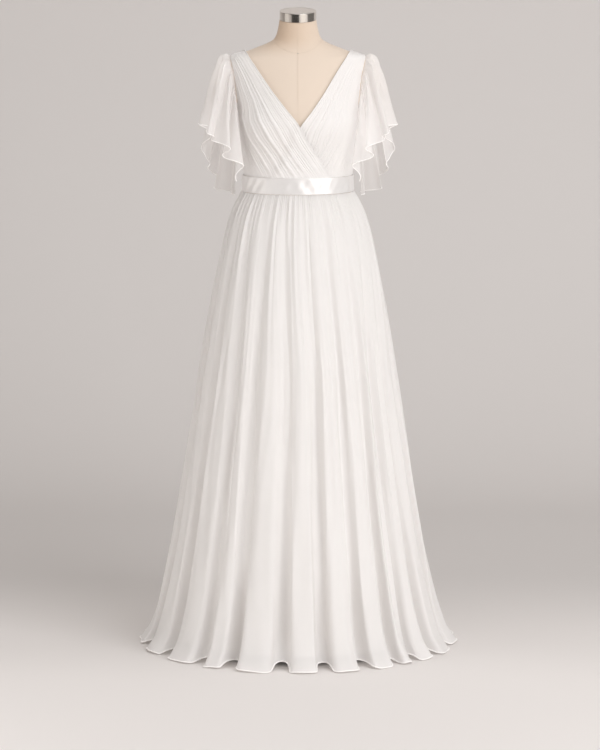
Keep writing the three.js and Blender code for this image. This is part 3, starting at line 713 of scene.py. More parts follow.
class DRESS_OT_form(bpy.types.Operator):
    """Make the form's stretched cover, its seams, the neck cap and the stand"""

    bl_idname = "dress.form"
    bl_label = "Dress form"

    def execute(self, context):
        colours = context.scene.dress_colours
        linen = cloth_material("linen jersey", colours.linen, JERSEY, coordinates="Object")
        # The neck's cover gets painted shade, darker and warmer towards its right side.
        paint_neck_shade(linen)
        darker = [c * 0.9 for c in colours.linen]
        thread = cloth_material("linen seam thread", darker, SEAM_THREAD, coordinates="Object")
        steel = metal_material("satin steel", colours.stand_metal, 0.38, 300)
        self.make_cover(linen.material)
        self.make_seams(thread.material)
        self.make_cap(metal_material("brushed cap", colours.cap_metal, 0.16, 900))
        self.make_pin(steel)
        for name in ("stand_pole", "stand_base"):
            node = frame["nodes"][name]
            node.data.materials.clear()
            node.data.materials.append(steel)
        return {"FINISHED"}

    def make_cover(self, material):
        """The cover is drawn in under the form to the pole's socket, and ends under the cap."""
        rings = torso_rings(160)
        socket = rings[-1:] * np.array([1, 1, 0])
        socket *= SOCKET_RADIUS / np.linalg.norm(socket, axis=-1, keepdims=True)
        socket[..., 2] = FORM_BOTTOM
        mesh = ringed_mesh("form_cover", np.concatenate([rings, socket]), material, (0, 0, FORM_TOP))
        finish_piece(link("form_cover", mesh), "form_torso", slot="linen")

    def make_seams(self, material):
        """The centre seams and the neck's, and the stitches along those that show in front."""
        seams = [
            seam_line(0, FORM_TOP - 2 * MM, FRONT_SEAM_END, 160, THREAD_PROUD),
            seam_line(180, FORM_TOP - 2 * MM, BACK_SEAM_END, 90, THREAD_PROUD),
            neck_seam_line(THREAD_PROUD),
        ]
        roll_along("form_seams", seams, material=material, slot="linen", Radius=SEAM_ROLL, Sides=6)
        front = seam_line(0, FORM_TOP - 4 * MM, FRONT_SEAM_END, 160, STITCH_PROUD)
        stitched = [front, neck_seam_line(STITCH_PROUD)]
        sizes = {"Spacing": 3.6 * MM, "Stitch_length": 2 * MM, "Thread_radius": 0.14 * MM}
        grown_along("form_seam_stitches", stitched, "stitch row", material, "linen", **sizes)

    def make_cap(self, material):
        """A disc with a bevel round its top, a small lip under it and a shallow groove in its face."""
        radius, bevel, lip, groove = CAP_RADIUS, 1.1 * MM, 0.6 * MM, 0.4 * MM
        low, high = SEAM_GAP, SEAM_GAP + CAP_HEIGHT
        profile = [(radius * 0.835, high), (radius * 0.84, high - groove)]
        profile += [(radius * 0.855, high - groove), (radius * 0.86, high)]
        for t in np.linspace(math.pi / 2, 0, 6)[:-1]:
            profile.append((radius - bevel + bevel * math.cos(t), high - bevel + bevel * math.sin(t)))
        profile += [(radius, z) for z in np.linspace(high - bevel, low + MM, 6)]
        profile += [(radius, low + lip), (radius - lip, low)]
        angles = np.linspace(0, 2 * math.pi, 128, endpoint=False)
        rings = np.array([[(r * math.sin(a), -r * math.cos(a), z) for a in angles] for r, z in profile])
        mesh = ringed_mesh("neck_cap", rings, material, (0, 0, high), (0, 0, low))
        mesh.set_sharp_from_angle(angle=math.radians(40))
        mesh.transform(Matrix.Translation((0, 0, FORM_TOP)) @ Matrix.Rotation(CAP_TILT, 4, "X"))
        finish_piece(link("neck_cap", mesh), "form_cap", slot="cap_metal")

    def make_pin(self, material):
        """The small pin head where the centre front seam meets the neck seam."""
        seam, _ = neck_seam_line(STITCH_PROUD)
        bpy.ops.mesh.primitive_uv_sphere_add(
            segments=16, ring_count=10, radius=PIN_RADIUS, location=(0, 0, 0)
        )
        pin = bpy.context.object
        pin.name = "neck_pin"
        pin.data.transform(Matrix.Translation(seam[len(seam) // 2]))
        pin.data.materials.append(material)
        pin.data.polygons.foreach_set("use_smooth", [True] * len(pin.data.polygons))
        finish_piece(pin, slot="cap_metal")


# Bodice


def clearance_at(height):
    """How far the cloth lies off the form: close on the shoulders, and pressed flat into the waist seam."""
    bodice = mix(CHEST_CLEARANCE, SHOULDER_CLEARANCE, smooth(1.425, 1.450, height))
    return mix(WAIST_CLEARANCE, bodice, smooth(BAND_TOP, 1.200, height))


def above_band(height):
    """The share of a pleat's or lap's full height, which grows from the waist seam up."""
    return smooth(BAND_TOP, 1.190, height)


def seam_angle(height, column):
    """Half a seam's gap as an angle at a level."""
    return np.degrees(SEAM_GAP / 2 / FORM.at(column, "height", height))


def front_rows(rows, shift, tuck):
    """Neck and arm edges of a front panel, as angle and height for each row."""
    names = ("neck_x", "neck_height", "arm_angle", "arm_height")
    neck_x, neck_z, arm, arm_z = (FRONT_EDGES.at(name, "row", rows) for name in names)
    cross = smooth(1.440, V_POINT, neck_z)
    under = tuck * smooth(V_POINT, V_POINT - 0.06, neck_z)
    neck = angle_at(neck_x + shift * cross + under, neck_z)
    side = 90 - seam_angle(neck_z, "front")
    return np.minimum(neck, side), neck_z, np.minimum(arm, side), arm_z


def back_rows(rows):
    """Neck and arm edges of a back panel."""
    names = ("neck_angle", "neck_height", "arm_angle", "arm_height")
    neck, neck_z, arm, arm_z = (BACK_EDGES.at(name, "row", rows) for name in names)
    neck = np.clip(neck, 90 + seam_angle(neck_z, "back"), 180 - seam_angle(neck_z, "half_width"))
    return neck, neck_z, np.maximum(arm, 90 + seam_angle(arm_z, "back")), arm_z


over_rows = functools.partial(front_rows, shift=-V_POINT_SHIFT, tuck=0)
under_rows = functools.partial(front_rows, shift=V_POINT_SHIFT, tuck=UNDER_LAYER_TUCK)


def under_edge_x(height):
    """Where the under front's edge runs at a level."""
    neck, neck_z, _, _ = under_rows(np.linspace(0, 11, 111))
    x = form_point(neck, neck_z)[:, 0]
    return np.interp(height, neck_z[::-1], x[::-1])


def over_lift(angle, height):
    """The wearer's right front lies over the left one, so it stands off where the two cross."""
    x = form_point(angle, height)[..., 0]
    covered = smooth(-OVERLAP_RAMP, 0, -x - under_edge_x(height))
    below = 1 - smooth(V_POINT + 0.006, V_POINT + 0.06, height)
    return mix(WAIST_LIFT, OVERLAP_LIFT, above_band(height)) * covered * below


def no_lift(angle, height):
    return 0 * height


def pleat_rise(across, down, pleats, depth, crinkles, seed):
    """How far pressed pleats stand up: a slow rise to each crest and a quick fall, with crinkles between.

    across runs over the panel from 0 to 1, and down from its top row to its waist. The pleats
    are counted at the shoulder. On the way down they slant to the neck's edge, and more of
    them start at the armhole and the side.
    """
    random = np.random.default_rng(seed)
    most = math.ceil(pleats * (1 + PLEAT_SLANT)) + 1
    slanted = across * (1 + PLEAT_SLANT * smooth(0.2, 1, down))
    drift = 0.3 * waver(seed + 1, 0.5 * across + 0.31 * down, 3, 1, 3) / pleats
    place = np.maximum(slanted + drift * np.minimum(1, 6 * across), 0) * pleats
    index = np.minimum(np.floor(place).astype(int), most - 1)
    t = place - index
    weight = 0.12 + 0.4 * random.random(most)
    middle = 0.2 + 0.8 * random.random(most)
    main = np.arange(3, int(most * 0.62), 2)
    weight[main] += 0.5 + 0.6 * random.random(len(main))
    middle[main] = 0.6 + 0.35 * random.random(len(main))
    weight[1 : most // 3 : 2] += 0.35
    spread = 0.22 + 0.25 * random.random(most)
    swell = np.exp(-(((down - middle[index]) / spread[index]) ** 2))
    crest = np.where(t < CREST, smooth(0, CREST, t), 1 - smooth(CREST, 1, t))
    wander = 0.2 * waver(seed + 2, across + 0.13 * down, 3, 4, 9)
    crinkle = 0.5 + 0.5 * np.cos(2 * math.pi * (CRINKLES * t + wander))
    presence = 0.8 + 0.3 * waver(seed + 3, across + 0.4 * down, 5, 3, 12)
    fine = crinkles * crinkle * presence * mix(0.3, 1, smooth(0.1, 0.65, down))
    return depth * crest * weight[index] * (0.3 + 0.9 * swell) + fine


# A panel's edges and their last row, its pleats at the shoulder, its side, how it lies over what is
# under it, its share of the pleats' depth, its step from the seed, its columns, and its cut: the width,
# the length and the flat area of what shows once it is pleated
PANEL_ROWS = 112
Panel = namedtuple("Panel", "rows last_row pleats side lift share seed_step columns width length area")
PANELS = {
    "bodice_front_right": Panel(over_rows, 11, 9, -1, over_lift, 1, 0, 440, 0.26, 0.37, 0.068),
    "bodice_front_left": Panel(under_rows, 11, 9, 1, no_lift, 0.45, 10, 440, 0.25, 0.37, 0.060),
    "bodice_back_right": Panel(back_rows, 15, 5, -1, no_lift, 0.7, 20, 240, 0.15, 0.36, 0.052),
    "bodice_back_left": Panel(back_rows, 15, 5, 1, no_lift, 0.7, 30, 240, 0.15, 0.36, 0.052),
}


def panel_points(panel, settings):
    """The outer face of a bodice panel as a grid, with its edges turned in under it."""
    down = np.linspace(0, 1, PANEL_ROWS)
    neck, neck_z, arm, arm_z = panel.rows(down * panel.last_row)
    u, v = np.meshgrid(np.linspace(0, 1, panel.columns + 1), down)
    angle = mix(neck[:, None], arm[:, None], u)
    height = mix(neck_z[:, None], arm_z[:, None], u)
    size = mix(0.35, 1, above_band(height))
    depth, seed = settings.pleat_depth * panel.share, settings.seed + panel.seed_step
    rise = pleat_rise(u, v, panel.pleats, depth, settings.crinkle_height, seed) * size
    edge = smooth(0, 0.035, u)
    rise = rise * edge + TURNED_RISE * (1 - edge) * size
    base = clearance_at(height) + panel.lift(angle, height)
    points = off_form(angle, height, base + CLOTH_RISE + rise)
    points[-1, :, 2] = height[-1]
    turned = [off_form(angle[:, at], height[:, at], base[:, at] + SEAM_GAP)[:, None] for at in (0, -1)]
    return np.concatenate([turned[0], points, turned[1]], 1) * np.array([panel.side, 1, 1])


class DRESS_OT_bodice(bpy.types.Operator):
    """Make the two crossed front panels and the two back panels, with their pleats and turned edges"""

    bl_idname = "dress.bodice"
    bl_label = "Bodice"

    def execute(self, context):
        settings = context.scene.dress_bodice
        chiffon = bpy.data.materials["pleated chiffon"]
        edges = []
        for name, panel in PANELS.items():
            points = panel_points(panel, settings)
            piece = sheet_object(name + "_cloth", points, chiffon)
            finish_piece(piece, name, slot="chiffon")
            edges.append((points[:, 1], False))
        roll_along("neckline_edge", edges, material=chiffon, slot="chiffon", Radius=settings.edge_radius)
        self.make_back_closing(bpy.data.materials["rolled hem chiffon"])
        return {"FINISHED"}

    def make_back_closing(self, edge):
        """The centre back seam over the closed concealed zip, with the zip's small pull at its top."""
        heights = np.linspace(BACK_EDGES.at("neck_height", "row", 9) - 3 * MM, BAND_TOP + 2 * MM, 60)
        seam = off_form(np.full(len(heights), 180.0), heights, clearance_at(heights) + 2.2 * MM)
        finish = {"material": edge, "slot": "chiffon"}
        roll_along("back_seam", [(seam, False)], Radius=0.7 * MM, **finish)
        turn = np.linspace(0, 2 * math.pi, 24, endpoint=False)
        width, drop = 1.6 * MM, 6 * MM
        taper = 1 - 0.45 * np.cos(turn)
        loop = np.stack([width * np.sin(turn) * taper, 0 * turn, drop * np.cos(turn)], -1)
        top = seam[4] + np.array([0, width, -drop])
        roll_along("zip_pull", [(top + loop, True)], Radius=0.6 * MM, **finish)


# Waistband


class DRESS_OT_waistband(bpy.types.Operator):
    """Make the satin band, with turned edges and the soft ripples of satin that is drawn round a waist"""

    bl_idname = "dress.waistband"
    bl_label = "Waistband"

    def execute(self, context):
        settings = context.scene.dress_band
        angles = np.linspace(-180, 180, BAND_COLUMNS, endpoint=False)
        roll = (BAND_OUTSIDE - BAND_INSIDE) / 4
        low, high = WAIST_SEAM + BAND_GAP + roll, BAND_TOP - BAND_GAP - roll
        turns = [((1 - math.cos(a)) / 2, roll * math.sin(a)) for a in np.linspace(0, math.pi, BAND_TURN)]
        rows = [(mix(BAND_INSIDE, BAND_OUTSIDE, share), low - out) for share, out in turns[:-1]]
        for t in np.linspace(0, 1, BAND_ROWS):
            rows.append((BAND_OUTSIDE + self.ripples(angles, t, settings), mix(low, high, t)))
        rows += [(mix(BAND_OUTSIDE, BAND_INSIDE, share), high + out) for share, out in turns[1:]]
        points = []
        for off, height in rows:
            row = off_form(angles, np.full(len(angles), height), off)
            row[:, 2] = height
            points.append(row)
        satin = bpy.data.materials["satin band"]
        band = sheet_object("waistband_cloth", np.array(points), satin, wrap=True)
        finish_piece(band, "waistband", slot="satin")
        return {"FINISHED"}

    def ripples(self, angles, t, settings):
        """The ripples' heights round the band, at a share of the way up it."""
        around = angles / 360
        slanted = waver(settings.seed, around + 0.02 * (t - 0.5), 7, 5, 26)
        crossing = waver(settings.seed + 1, around - 0.03 * t, 7, 9, 34)
        inside_edges = math.sin(math.pi * t) ** 0.6 if 0 < t < 1 else 0
        return settings.ripple_height * (slanted * 0.5 + crossing * 0.5) * inside_edges


# Skirt

FOLDS = len(VALLEYS.rows)


def valley(k):
    """The angle and the depth of the valleys at whole numbers across the folds."""
    turns = np.floor(k / FOLDS).astype(int)
    row = k - turns * FOLDS
    return VALLEYS.column("angle")[row] + 360 * turns, VALLEYS.column("depth")[row]


def skirt_surface(across, height, settings):
    """The skirt's cloth. A whole number across the folds is the bottom of a valley."""
    k = np.floor(across).astype(int)
    t = across - k
    turn = 2 * math.pi * t
    angle_here, depth_here = valley(k)
    angle_next, depth_next = valley(k + 1)
    hem_angle = mix(angle_here, angle_next, t)
    even_angle = VALLEYS.column("angle")[0] + 360 * across / FOLDS
    settled = smooth(1.060, 0.640, height)
    loose = smooth(0.900, 0.060, height)
    lean = (angle_next - angle_here) * loose * (0.062 * np.sin(2 * turn) - 0.06 * np.sin(turn))
    depth = mix(depth_here, depth_next, t)
    fold = SKIRT.at("fold", "height", height)
    soft = mix(0.62, 0.95, smooth(0.30, 0.02, height))
    wave = fold * (0.8 * (1 - soft) - soft * depth * (np.cos(turn) + 0.2 * np.cos(2 * turn)))
    around = across / FOLDS
    wave = wave + gather_height(around, height, settings) + drape_height(around, height, settings)
    wave = wave + ridge_height(k, t, height, settings)
    angle = mix(even_angle, hem_angle, settled) + lean
    point = oval_point(SKIRT, angle, height, wave)
    lift = HEM_LIFT * smooth(0.090, 0, height) * smooth(0.35, -1, -np.cos(turn)) * depth
    ruffle = HEM_RUFFLE * smooth(0.12, 0, height) * (1 + waver(settings.seed + 9, around, 6, 30, 60)) / 2
    point[..., 2] += lift + ruffle
    return point


def gather_height(around, height, settings):
    """Small gathers at the waist, which run down the skirt and fade one after another."""
    warped = around + 0.0035 * waver(settings.seed, around, 5, 7, 22)
    phase = warped * settings.gathers
    index = np.floor(phase).astype(int) % settings.gathers
    random = np.random.default_rng(settings.seed + 1)
    weight = (0.35 + 1.0 * random.random(settings.gathers))[index]
    reach = (0.10 + 0.50 * random.random(settings.gathers) ** 2.2)[index]
    t = phase - np.floor(phase)
    ridge = np.where(t < 0.6, smooth(0, 0.6, t), 1 - smooth(0.6, 1, t)) ** 1.5
    drop = WAIST_SEAM - height
    start = smooth(-2 * MM, 30 * MM, drop)
    fade = 1 - smooth(0.2, 1, drop / reach)
    size = settings.gather_depth * (0.45 + 0.55 * start)
    fine = 0.6 * MM * waver(settings.seed + 6, around, 5, 150, 230) * (1 - smooth(0.01, 0.07, drop))
    return size * weight * ridge * fade - 0.4 * size * fade + fine


def drape_height(around, height, settings):
    """Long soft creases between the main folds, stronger towards the hem."""
    drop = WAIST_SEAM - height
    wander = 0.004 * np.sin(2 * math.pi * (1.3 * height + 3 * around))
    broad = waver(settings.seed + 3, around + wander, 9, 30, 58)
    narrow = waver(settings.seed + 4, around - wander, 9, 70, 130)
    here = smooth(0.05, 0.5, drop)
    return settings.crease_depth * here * ((0.55 + 0.6 * smooth(0.4, 1.1, drop)) * broad + 0.28 * narrow)


def ridge_height(k, t, height, settings):
    """A thin soft ridge or two on each main fold, where the cloth turns."""
    random = np.random.default_rng(settings.seed + 5)
    row = k % FOLDS
    here = smooth(1.02, 0.62, height)
    total = 0 * height
    for start, room in ((0.16, 0.2), (0.58, 0.26)):
        place = (start + room * random.random(FOLDS))[row]
        size = (settings.ridge_depth * (0.3 + random.random(FOLDS)))[row]
        drift = 0.05 * np.sin(3 * height + row)
        total = total + size * here * np.exp(-(((t - place - drift * here) / 0.055) ** 2))
    return total


def skirt_grid(gore, settings):
    """A gore's cloth from one seam to the next, with half the seam's gap at each side."""
    across = np.linspace(gore.first, gore.last, (gore.last - gore.first) * settings.columns_a_fold + 1)
    across[0] += SEAM_SHARE
    across[-1] -= SEAM_SHARE
    top, hip, ankle = SKIRT.rows[0][0], 1.0, 0.12
    heights = np.concatenate([
        np.linspace(top, hip, 40, endpoint=False),
        np.linspace(hip, ankle, 76, endpoint=False),
        np.linspace(ankle, HEM_BOTTOM, 20),
    ])
    a, z = np.meshgrid(across, heights)
    points = skirt_surface(a, z, settings)
    points[..., 2] = np.maximum(points[..., 2], HEM_BOTTOM)
    points[0, :, 2] = top
    return points


class DRESS_OT_skirt(bpy.types.Operator):
    """Make the five gathered skirt gores, their hem and the lining"""

    bl_idname = "dress.skirt"
    bl_label = "Skirt"

    def execute(self, context):
        settings = context.scene.dress_skirt
        chiffon = bpy.data.materials["skirt chiffon"]
        hems = []
        for name, gore in GORES.items():
            points = skirt_grid(gore, settings)
            piece = sheet_object(name + "_cloth", points, chiffon)
            finish_piece(piece, name, slot="chiffon")
            hems.append(points[-1])
        hem = np.concatenate(hems) + np.array([0, 0, settings.hem_radius])
        edge = bpy.data.materials["rolled hem chiffon"]
        roll_along("skirt_hem", [(hem, True)], material=edge, slot="chiffon", Radius=settings.hem_radius)
        self.make_lining(settings)
        return {"FINISHED"}

    def make_lining(self, settings):
        """The lining is a closed wall, thin enough to hang clear of the gores."""
        angles = np.linspace(0, 360, LINING_COLUMNS, endpoint=False)
        a, z = np.meshgrid(angles, np.linspace(LINING.rows[0][0], LINING_HEM, LINING_ROWS))
        soft = 1.2 * MM * waver(settings.seed + 7, a / 360, 6, 4, 16) * smooth(0, 0.5, WAIST_SEAM - z)
        outer, inner = (oval_point(LINING, a, z, off + soft) for off in (LINING_OUTSIDE, LINING_INSIDE))
        material = bpy.data.materials["lining"]
        piece = sheet_object("skirt_lining_cloth", outer, material, wrap=True, inner=inner)
        finish_piece(piece, "skirt_lining", slot="lining")


# Sleeves


def armhole_line(around):
    """Where a sleeve is sewn on: round the armhole from the front of the underarm to its back."""
    up = 1 - np.abs(around - 0.5) * 2
    height = mix(UNDERARM_END, SHOULDER_SEAM, np.sin(up * math.pi / 2))
    front, back = (
        np.interp(height, table.column("arm_height")[::-1], table.column("arm_angle")[::-1])
        for table in (FRONT_EDGES, BACK_EDGES)
    )
    gap = np.degrees(ARMHOLE_GAP / FORM.at("front", "height", height))
    angle = np.where(around <= 0.5, np.minimum(front + gap, 90), np.maximum(back - gap, 90))
    outside = mix(2.4 * MM, 0, smooth(1.340, 1.400, height))
    return off_form(angle, height - ARMHOLE_GAP, clearance_at(height) + CLOTH_RISE + outside)


def hem_at(around):
    return [SLEEVE_HEM.at(axis, "around", np.clip(around, 0, 1)) for axis in "xyz"]


def sleeve_grid(settings, side):
    """A sleeve's cloth from the armhole to the hem: u goes round it and v down it."""
    down = np.linspace(0, 1, settings.rows + 1) ** 1.15
    around = np.linspace(0, 1, settings.columns + 1)
    u, v = np.meshgrid(around, down)
    start = armhole_line(around)[None]
    outwards = v + 0.25 * (1 - v) * (1 - np.exp(-v / 0.07))
    points = start + (np.stack(hem_at(u), -1) - start) * np.stack([outwards, outwards, v**1.15], -1)
    ridges = 0.55 + 0.45 * np.sin(2 * math.pi * (9 * u + 0.15 * np.sin(7 * u)))
    head = np.sin(math.pi * np.clip(v / 0.2, 0, 1)) * np.sin(math.pi * u)
    points[..., 2] += settings.head_rise * ridges * head
    probe = 0.02
    x, y = (ahead - behind for ahead, behind in zip(hem_at(u + probe)[:2], hem_at(u - probe)[:2]))
    course = np.stack([x, y, 0 * u], -1)
    course /= np.linalg.norm(course, axis=-1, keepdims=True)
    away = np.stack([course[..., 1], -course[..., 0], 0 * u], -1)
    turn = 2 * math.pi * SLEEVE_WAVES * u
    calm = smooth(0, 0.06, u) * smooth(1, 0.94, u)
    swell = -np.cos(turn) * settings.wave_depth * v**0.9 * mix(0.55, 1, calm)
    lap = np.tanh((u - 0.5) / 0.12) * mix(0.6, 1, smooth(0, 0.25, np.minimum(u, 1 - u)))
    overlap = -settings.overlap * lap * v**1.7 * np.cos(turn) * calm
    small = settings.head_gather * smooth(0, 0.06, v) * (1 - smooth(0.25, 0.95, v))
    even = np.sin(2 * math.pi * (13 * u + 0.3 * np.sin(9 * u)))
    gathers = small * (0.6 * waver(settings.seed, u, 7, 16, 26) + even)
    crease = 1.6 * MM * smooth(0.15, 0.8, v) * waver(settings.seed + 2, u + 0.02 * v, 6, 12, 26)
    points += away * (swell + gathers + crease)[..., None] + course * overlap[..., None]
    return points * np.array([side, 1, 1])


class DRESS_OT_sleeves(bpy.types.Operator):
    """Make the two sheer flutter sleeves and their rolled hems"""

    bl_idname = "dress.sleeves"
    bl_label = "Sleeves"

    def execute(self, context):
        settings = context.scene.dress_sleeves
        sheer = bpy.data.materials["sleeve chiffon"]
        hems = []
        for worn_side, side in (("left", 1), ("right", -1)):
            name = "sleeve_" + worn_side
            points = sleeve_grid(settings, side)
            piece = sheet_object(name + "_cloth", points, sheer)
            finish_piece(piece, name, slot="chiffon")
            hems.append((points[-1], False))
        edge = bpy.data.materials["rolled hem chiffon"]
        roll_along("sleeve_hems", hems, material=edge, slot="chiffon", Radius=settings.hem_radius)
        return {"FINISHED"}


# Studio

LENS, SENSOR_WIDTH = 246.84, 36
CAMERA_PLACE, CAMERA_PITCH = (0.005, -10.0, 2.13), 8.3387
# A light's share is of the power that its setting holds.
Light = namedtuple("Light", "name setting share place aim size colour")
WARM = (1, 0.985, 0.97)
LIGHTS = (
    Light("key light", "key_power", 1, (4.4, -6.2, 3.8), (0, 0, 0.8), (5.5, 5.5), (0.985, 1, 1.025)),
    Light("fill light", "fill_power", 1, (-5.2, -2.1, 2.6), (0, 0, 0.9), (2.5, 4), (1, 0.995, 0.99)),
    Light("low light left", "low_power", 1.35, (-1.9, -1.6, 0.55), (0, 0, 0.4), (1.2, 0.9), WARM),
    Light("low light right", "low_power", 1.25, (2, -1.9, 0.5), (0, 0, 0.4), (1.2, 0.9), WARM),
    Light("top light", "top_power", 1, (0.4, -0.6, 5), (0, 0, 0.6), (3, 3), (1, 1, 1)),
    Light("backdrop light", "backdrop_power", 1, (1.8, 0.4, 4.6), (0.6, 2.8, 1), (3, 1.5), (1, 0.99, 0.98)),
)
# Painted light and shade on the paper, from in front of the dress to the wall behind it: a bright painted
# pool of light in front of the dress and painted shade behind it
PAPER_START, PAPER_END = -2.0, 3.0
PAPER_PAINTED_LIGHT = ((-1.2, 0.95), (-0.5, 0.95), (0.0, 0.89), (0.9, 0.74), (1.6, 0.745), (2.7, 0.785))
WALL, BEND, PAPER_SIDE = 3.2, 1.4, 14
# Each card's name, its first and last angle round the dress, and its brightness
CARDS = (
    ("far", -90, -58, 0.75),
    ("left", -42, 9, 0.06),
    ("bright", 20, 47, 1.05),
    ("right", 64, 122, 0.17),
)
CARD_DISTANCE, CARD_FOOT, CARD_TOP = 1.9, 0.02, 2.6
CARD_COLOUR = (1, 0.95, 0.90, 1)


def pass_through_sleeves(light):
    """The sleeves are so sheer that the main light goes through them to the bodice."""
    blockers = bpy.data.collections.new("sheer sleeves")
    for name in ("sleeve_left_cloth", "sleeve_right_cloth"):
        blockers.objects.link(bpy.data.objects[name])
    for child in blockers.collection_objects:
        child.light_linking.link_state = "EXCLUDE"
    light.light_linking.blocker_collection = blockers


class DRESS_OT_stage(bpy.types.Operator):
    """Make the pale sweep that the form stands on, the lights and the camera"""

    bl_idname = "dress.stage"
    bl_label = "Studio"

    def execute(self, context):
        settings = context.scene.dress_stage
        self.make_sweep()
        self.make_cards()
        self.make_world(context.scene, settings)
        for light in LIGHTS:
            self.make_light(light, getattr(settings, light.setting) * light.share)
        pass_through_sleeves(bpy.data.objects["key light"])
        for side in ("left", "right"):
            bpy.data.objects["low light " + side].visible_glossy = False
        data = bpy.data.cameras.new("camera")
        data.sensor_fit = "HORIZONTAL"
        data.sensor_width = SENSOR_WIDTH
        data.lens = LENS
        camera = link("camera", data)
        camera.location = CAMERA_PLACE
        camera.rotation_euler = (math.radians(90 - CAMERA_PITCH), 0, 0)
        context.scene.camera = camera
        context.scene.view_settings.view_transform = "Standard"
        return {"FINISHED"}

    def make_light(self, light, power):
        data = bpy.data.lights.new(light.name, "AREA")
        data.shape = "RECTANGLE"
        data.size, data.size_y = light.size
        data.energy = power
        data.color = light.colour
        made = link(light.name, data)
        made.location = light.place
        made.rotation_mode = "QUATERNION"
        made.rotation_quaternion = (Vector(light.aim) - Vector(light.place)).to_track_quat("-Z", "Y")

    def make_sweep(self):
        """Matt paper that bends up into a wall, with painted light and shade along it. Seen from behind, it
        is clear.
        """
        inputs = {"Roughness": 0.9, "Specular IOR Level": 0.2}
        paper = Finish("studio paper", (0.89, 0.852, 0.829), 0.5, 0.03, inputs)
        tree = paper.tree
        # Painted light and shade: this ramp makes the paper brighter in front of the dress and darker
        # behind it.
        ramp = tree.nodes.new("ShaderNodeValToRGB")
        ramp.color_ramp.interpolation = "EASE"
        ramp.color_ramp.elements.remove(ramp.color_ramp.elements[1])
        for k, (y, grey) in enumerate(PAPER_PAINTED_LIGHT):
            place = (y - PAPER_START) / (PAPER_END - PAPER_START)
            element = ramp.color_ramp.elements.new(place) if k else ramp.color_ramp.elements[0]
            element.position = place
            element.color = (grey, grey, grey, 1)
        parts = add(tree, "ShaderNodeSeparateXYZ", {0: paper.places["Object"]})
        along = {"Value": parts["Y"], "From Min": PAPER_START, "From Max": PAPER_END}
        feed(tree, ramp, {"Fac": add(tree, "ShaderNodeMapRange", along)["Result"]})
        paper.give({"Base Color": scaled(tree, paper.colour, ramp.outputs["Color"])})
        backfacing = tree.nodes.new("ShaderNodeNewGeometry").outputs["Backfacing"]
        paper.blend(add(tree, "ShaderNodeBsdfTransparent", {}), backfacing)
        profile = [(y, 0.0) for y in (-30, -12, -5, -2, 0, 1.0, WALL - BEND)]
        turns = np.linspace(0, math.pi / 2, 14)[1:]
        profile += [(WALL - BEND + BEND * math.sin(t), BEND - BEND * math.cos(t)) for t in turns]
        profile += [(WALL, 3.0), (WALL, 7.0)]
        vertices = [(x, y, z) for y, z in profile for x in (-PAPER_SIDE, PAPER_SIDE)]
        faces = [(k, k + 1, k + 3, k + 2) for k in range(0, len(vertices) - 2, 2)]
        link("studio_sweep", new_mesh("studio_sweep", vertices, faces, paper.material))

    def make_cards(self):
        """Tall cards round the dress, which only polished surfaces see: two bright and two dark."""
        for name, first, last, brightness in CARDS:
            glow = bpy.data.materials.new(name + " card")
            glow.use_nodes = True
            light = {"Emission Color": CARD_COLOUR, "Emission Strength": brightness}
            light.update({"Base Color": (0, 0, 0, 1), "Specular IOR Level": 0})
            feed(glow.node_tree, glow.node_tree.nodes["Principled BSDF"], light)
            vertices = []
            for angle in np.radians(np.linspace(first, last, 12)):
                x, y = CARD_DISTANCE * math.sin(angle), -CARD_DISTANCE * math.cos(angle)
                vertices += [(x, y, CARD_FOOT), (x, y, CARD_TOP)]
            faces = [(k, k + 2, k + 3, k + 1) for k in range(0, len(vertices) - 2, 2)]
            card = link(name + "_card", new_mesh(name + "_card", vertices, faces, glow))
            for sight in ("camera", "diffuse", "transmission", "shadow"):
                setattr(card, "visible_" + sight, False)

    def make_world(self, scene, settings):
        """Soft light from all round, which polished surfaces see darker."""
        scene.world = bpy.data.worlds.new("studio light")
        scene.world.use_nodes = True
        tree = scene.world.node_tree
        soft = {"Color": (0.802, 0.768, 0.742, 1), "Strength": settings.world_strength}
        feed(tree, tree.nodes["Background"], soft)
        dark = add(tree, "ShaderNodeBackground", {"Color": (0.30, 0.28, 0.26, 1), "Strength": 0.5})
        glossy = tree.nodes.new("ShaderNodeLightPath").outputs["Is Glossy Ray"]
        ends = {0: glossy, 1: tree.nodes["Background"].outputs[0], 2: dark[0]}
        seen = add(tree, "ShaderNodeMixShader", ends)["Shader"]
        feed(tree, tree.nodes["World Output"], {"Surface": seen})


# Settings


def colour_prop(name, description, default):
    return bpy.props.FloatVectorProperty(
        name=name, description=description, subtype="COLOR", default=default, min=0, max=1
    )


def length_prop(name, description, default, most, least=0):
    return bpy.props.FloatProperty(
        name=name, description=description, default=default, min=least, max=most,
        subtype="DISTANCE", unit="LENGTH",
    )


def radius_prop(name, description, default):
    return length_prop(name, description, default, 0.005, least=0.0001)


def power_prop(name, description, default):
    return bpy.props.FloatProperty(
        name=name, description=description, default=default, min=0, subtype="POWER", unit="POWER"
    )


def count_prop(name, description, default, least, most):
    return bpy.props.IntProperty(name=name, description=description, default=default, min=least, max=most)


def seed_prop(description, default):
    return bpy.props.IntProperty(name="Seed", description=description, default=default)


class DressColours(bpy.types.PropertyGroup):
    linen: colour_prop("Linen", "Colour of the form's cover", (0.75, 0.635, 0.53))
    chiffon: colour_prop("Chiffon", "Colour of the gown's chiffon", (0.93, 0.908, 0.893))
    satin: colour_prop("Satin", "Colour of the waistband", (0.91, 0.885, 0.868))
    lining: colour_prop("Lining", "Colour of the skirt's lining", (0.90, 0.82, 0.765))
    cap_metal: colour_prop("Cap", "Colour of the neck cap's metal", (0.80, 0.755, 0.705))
    stand_metal: colour_prop("Stand", "Colour of the stand's metal", (0.42, 0.41, 0.40))


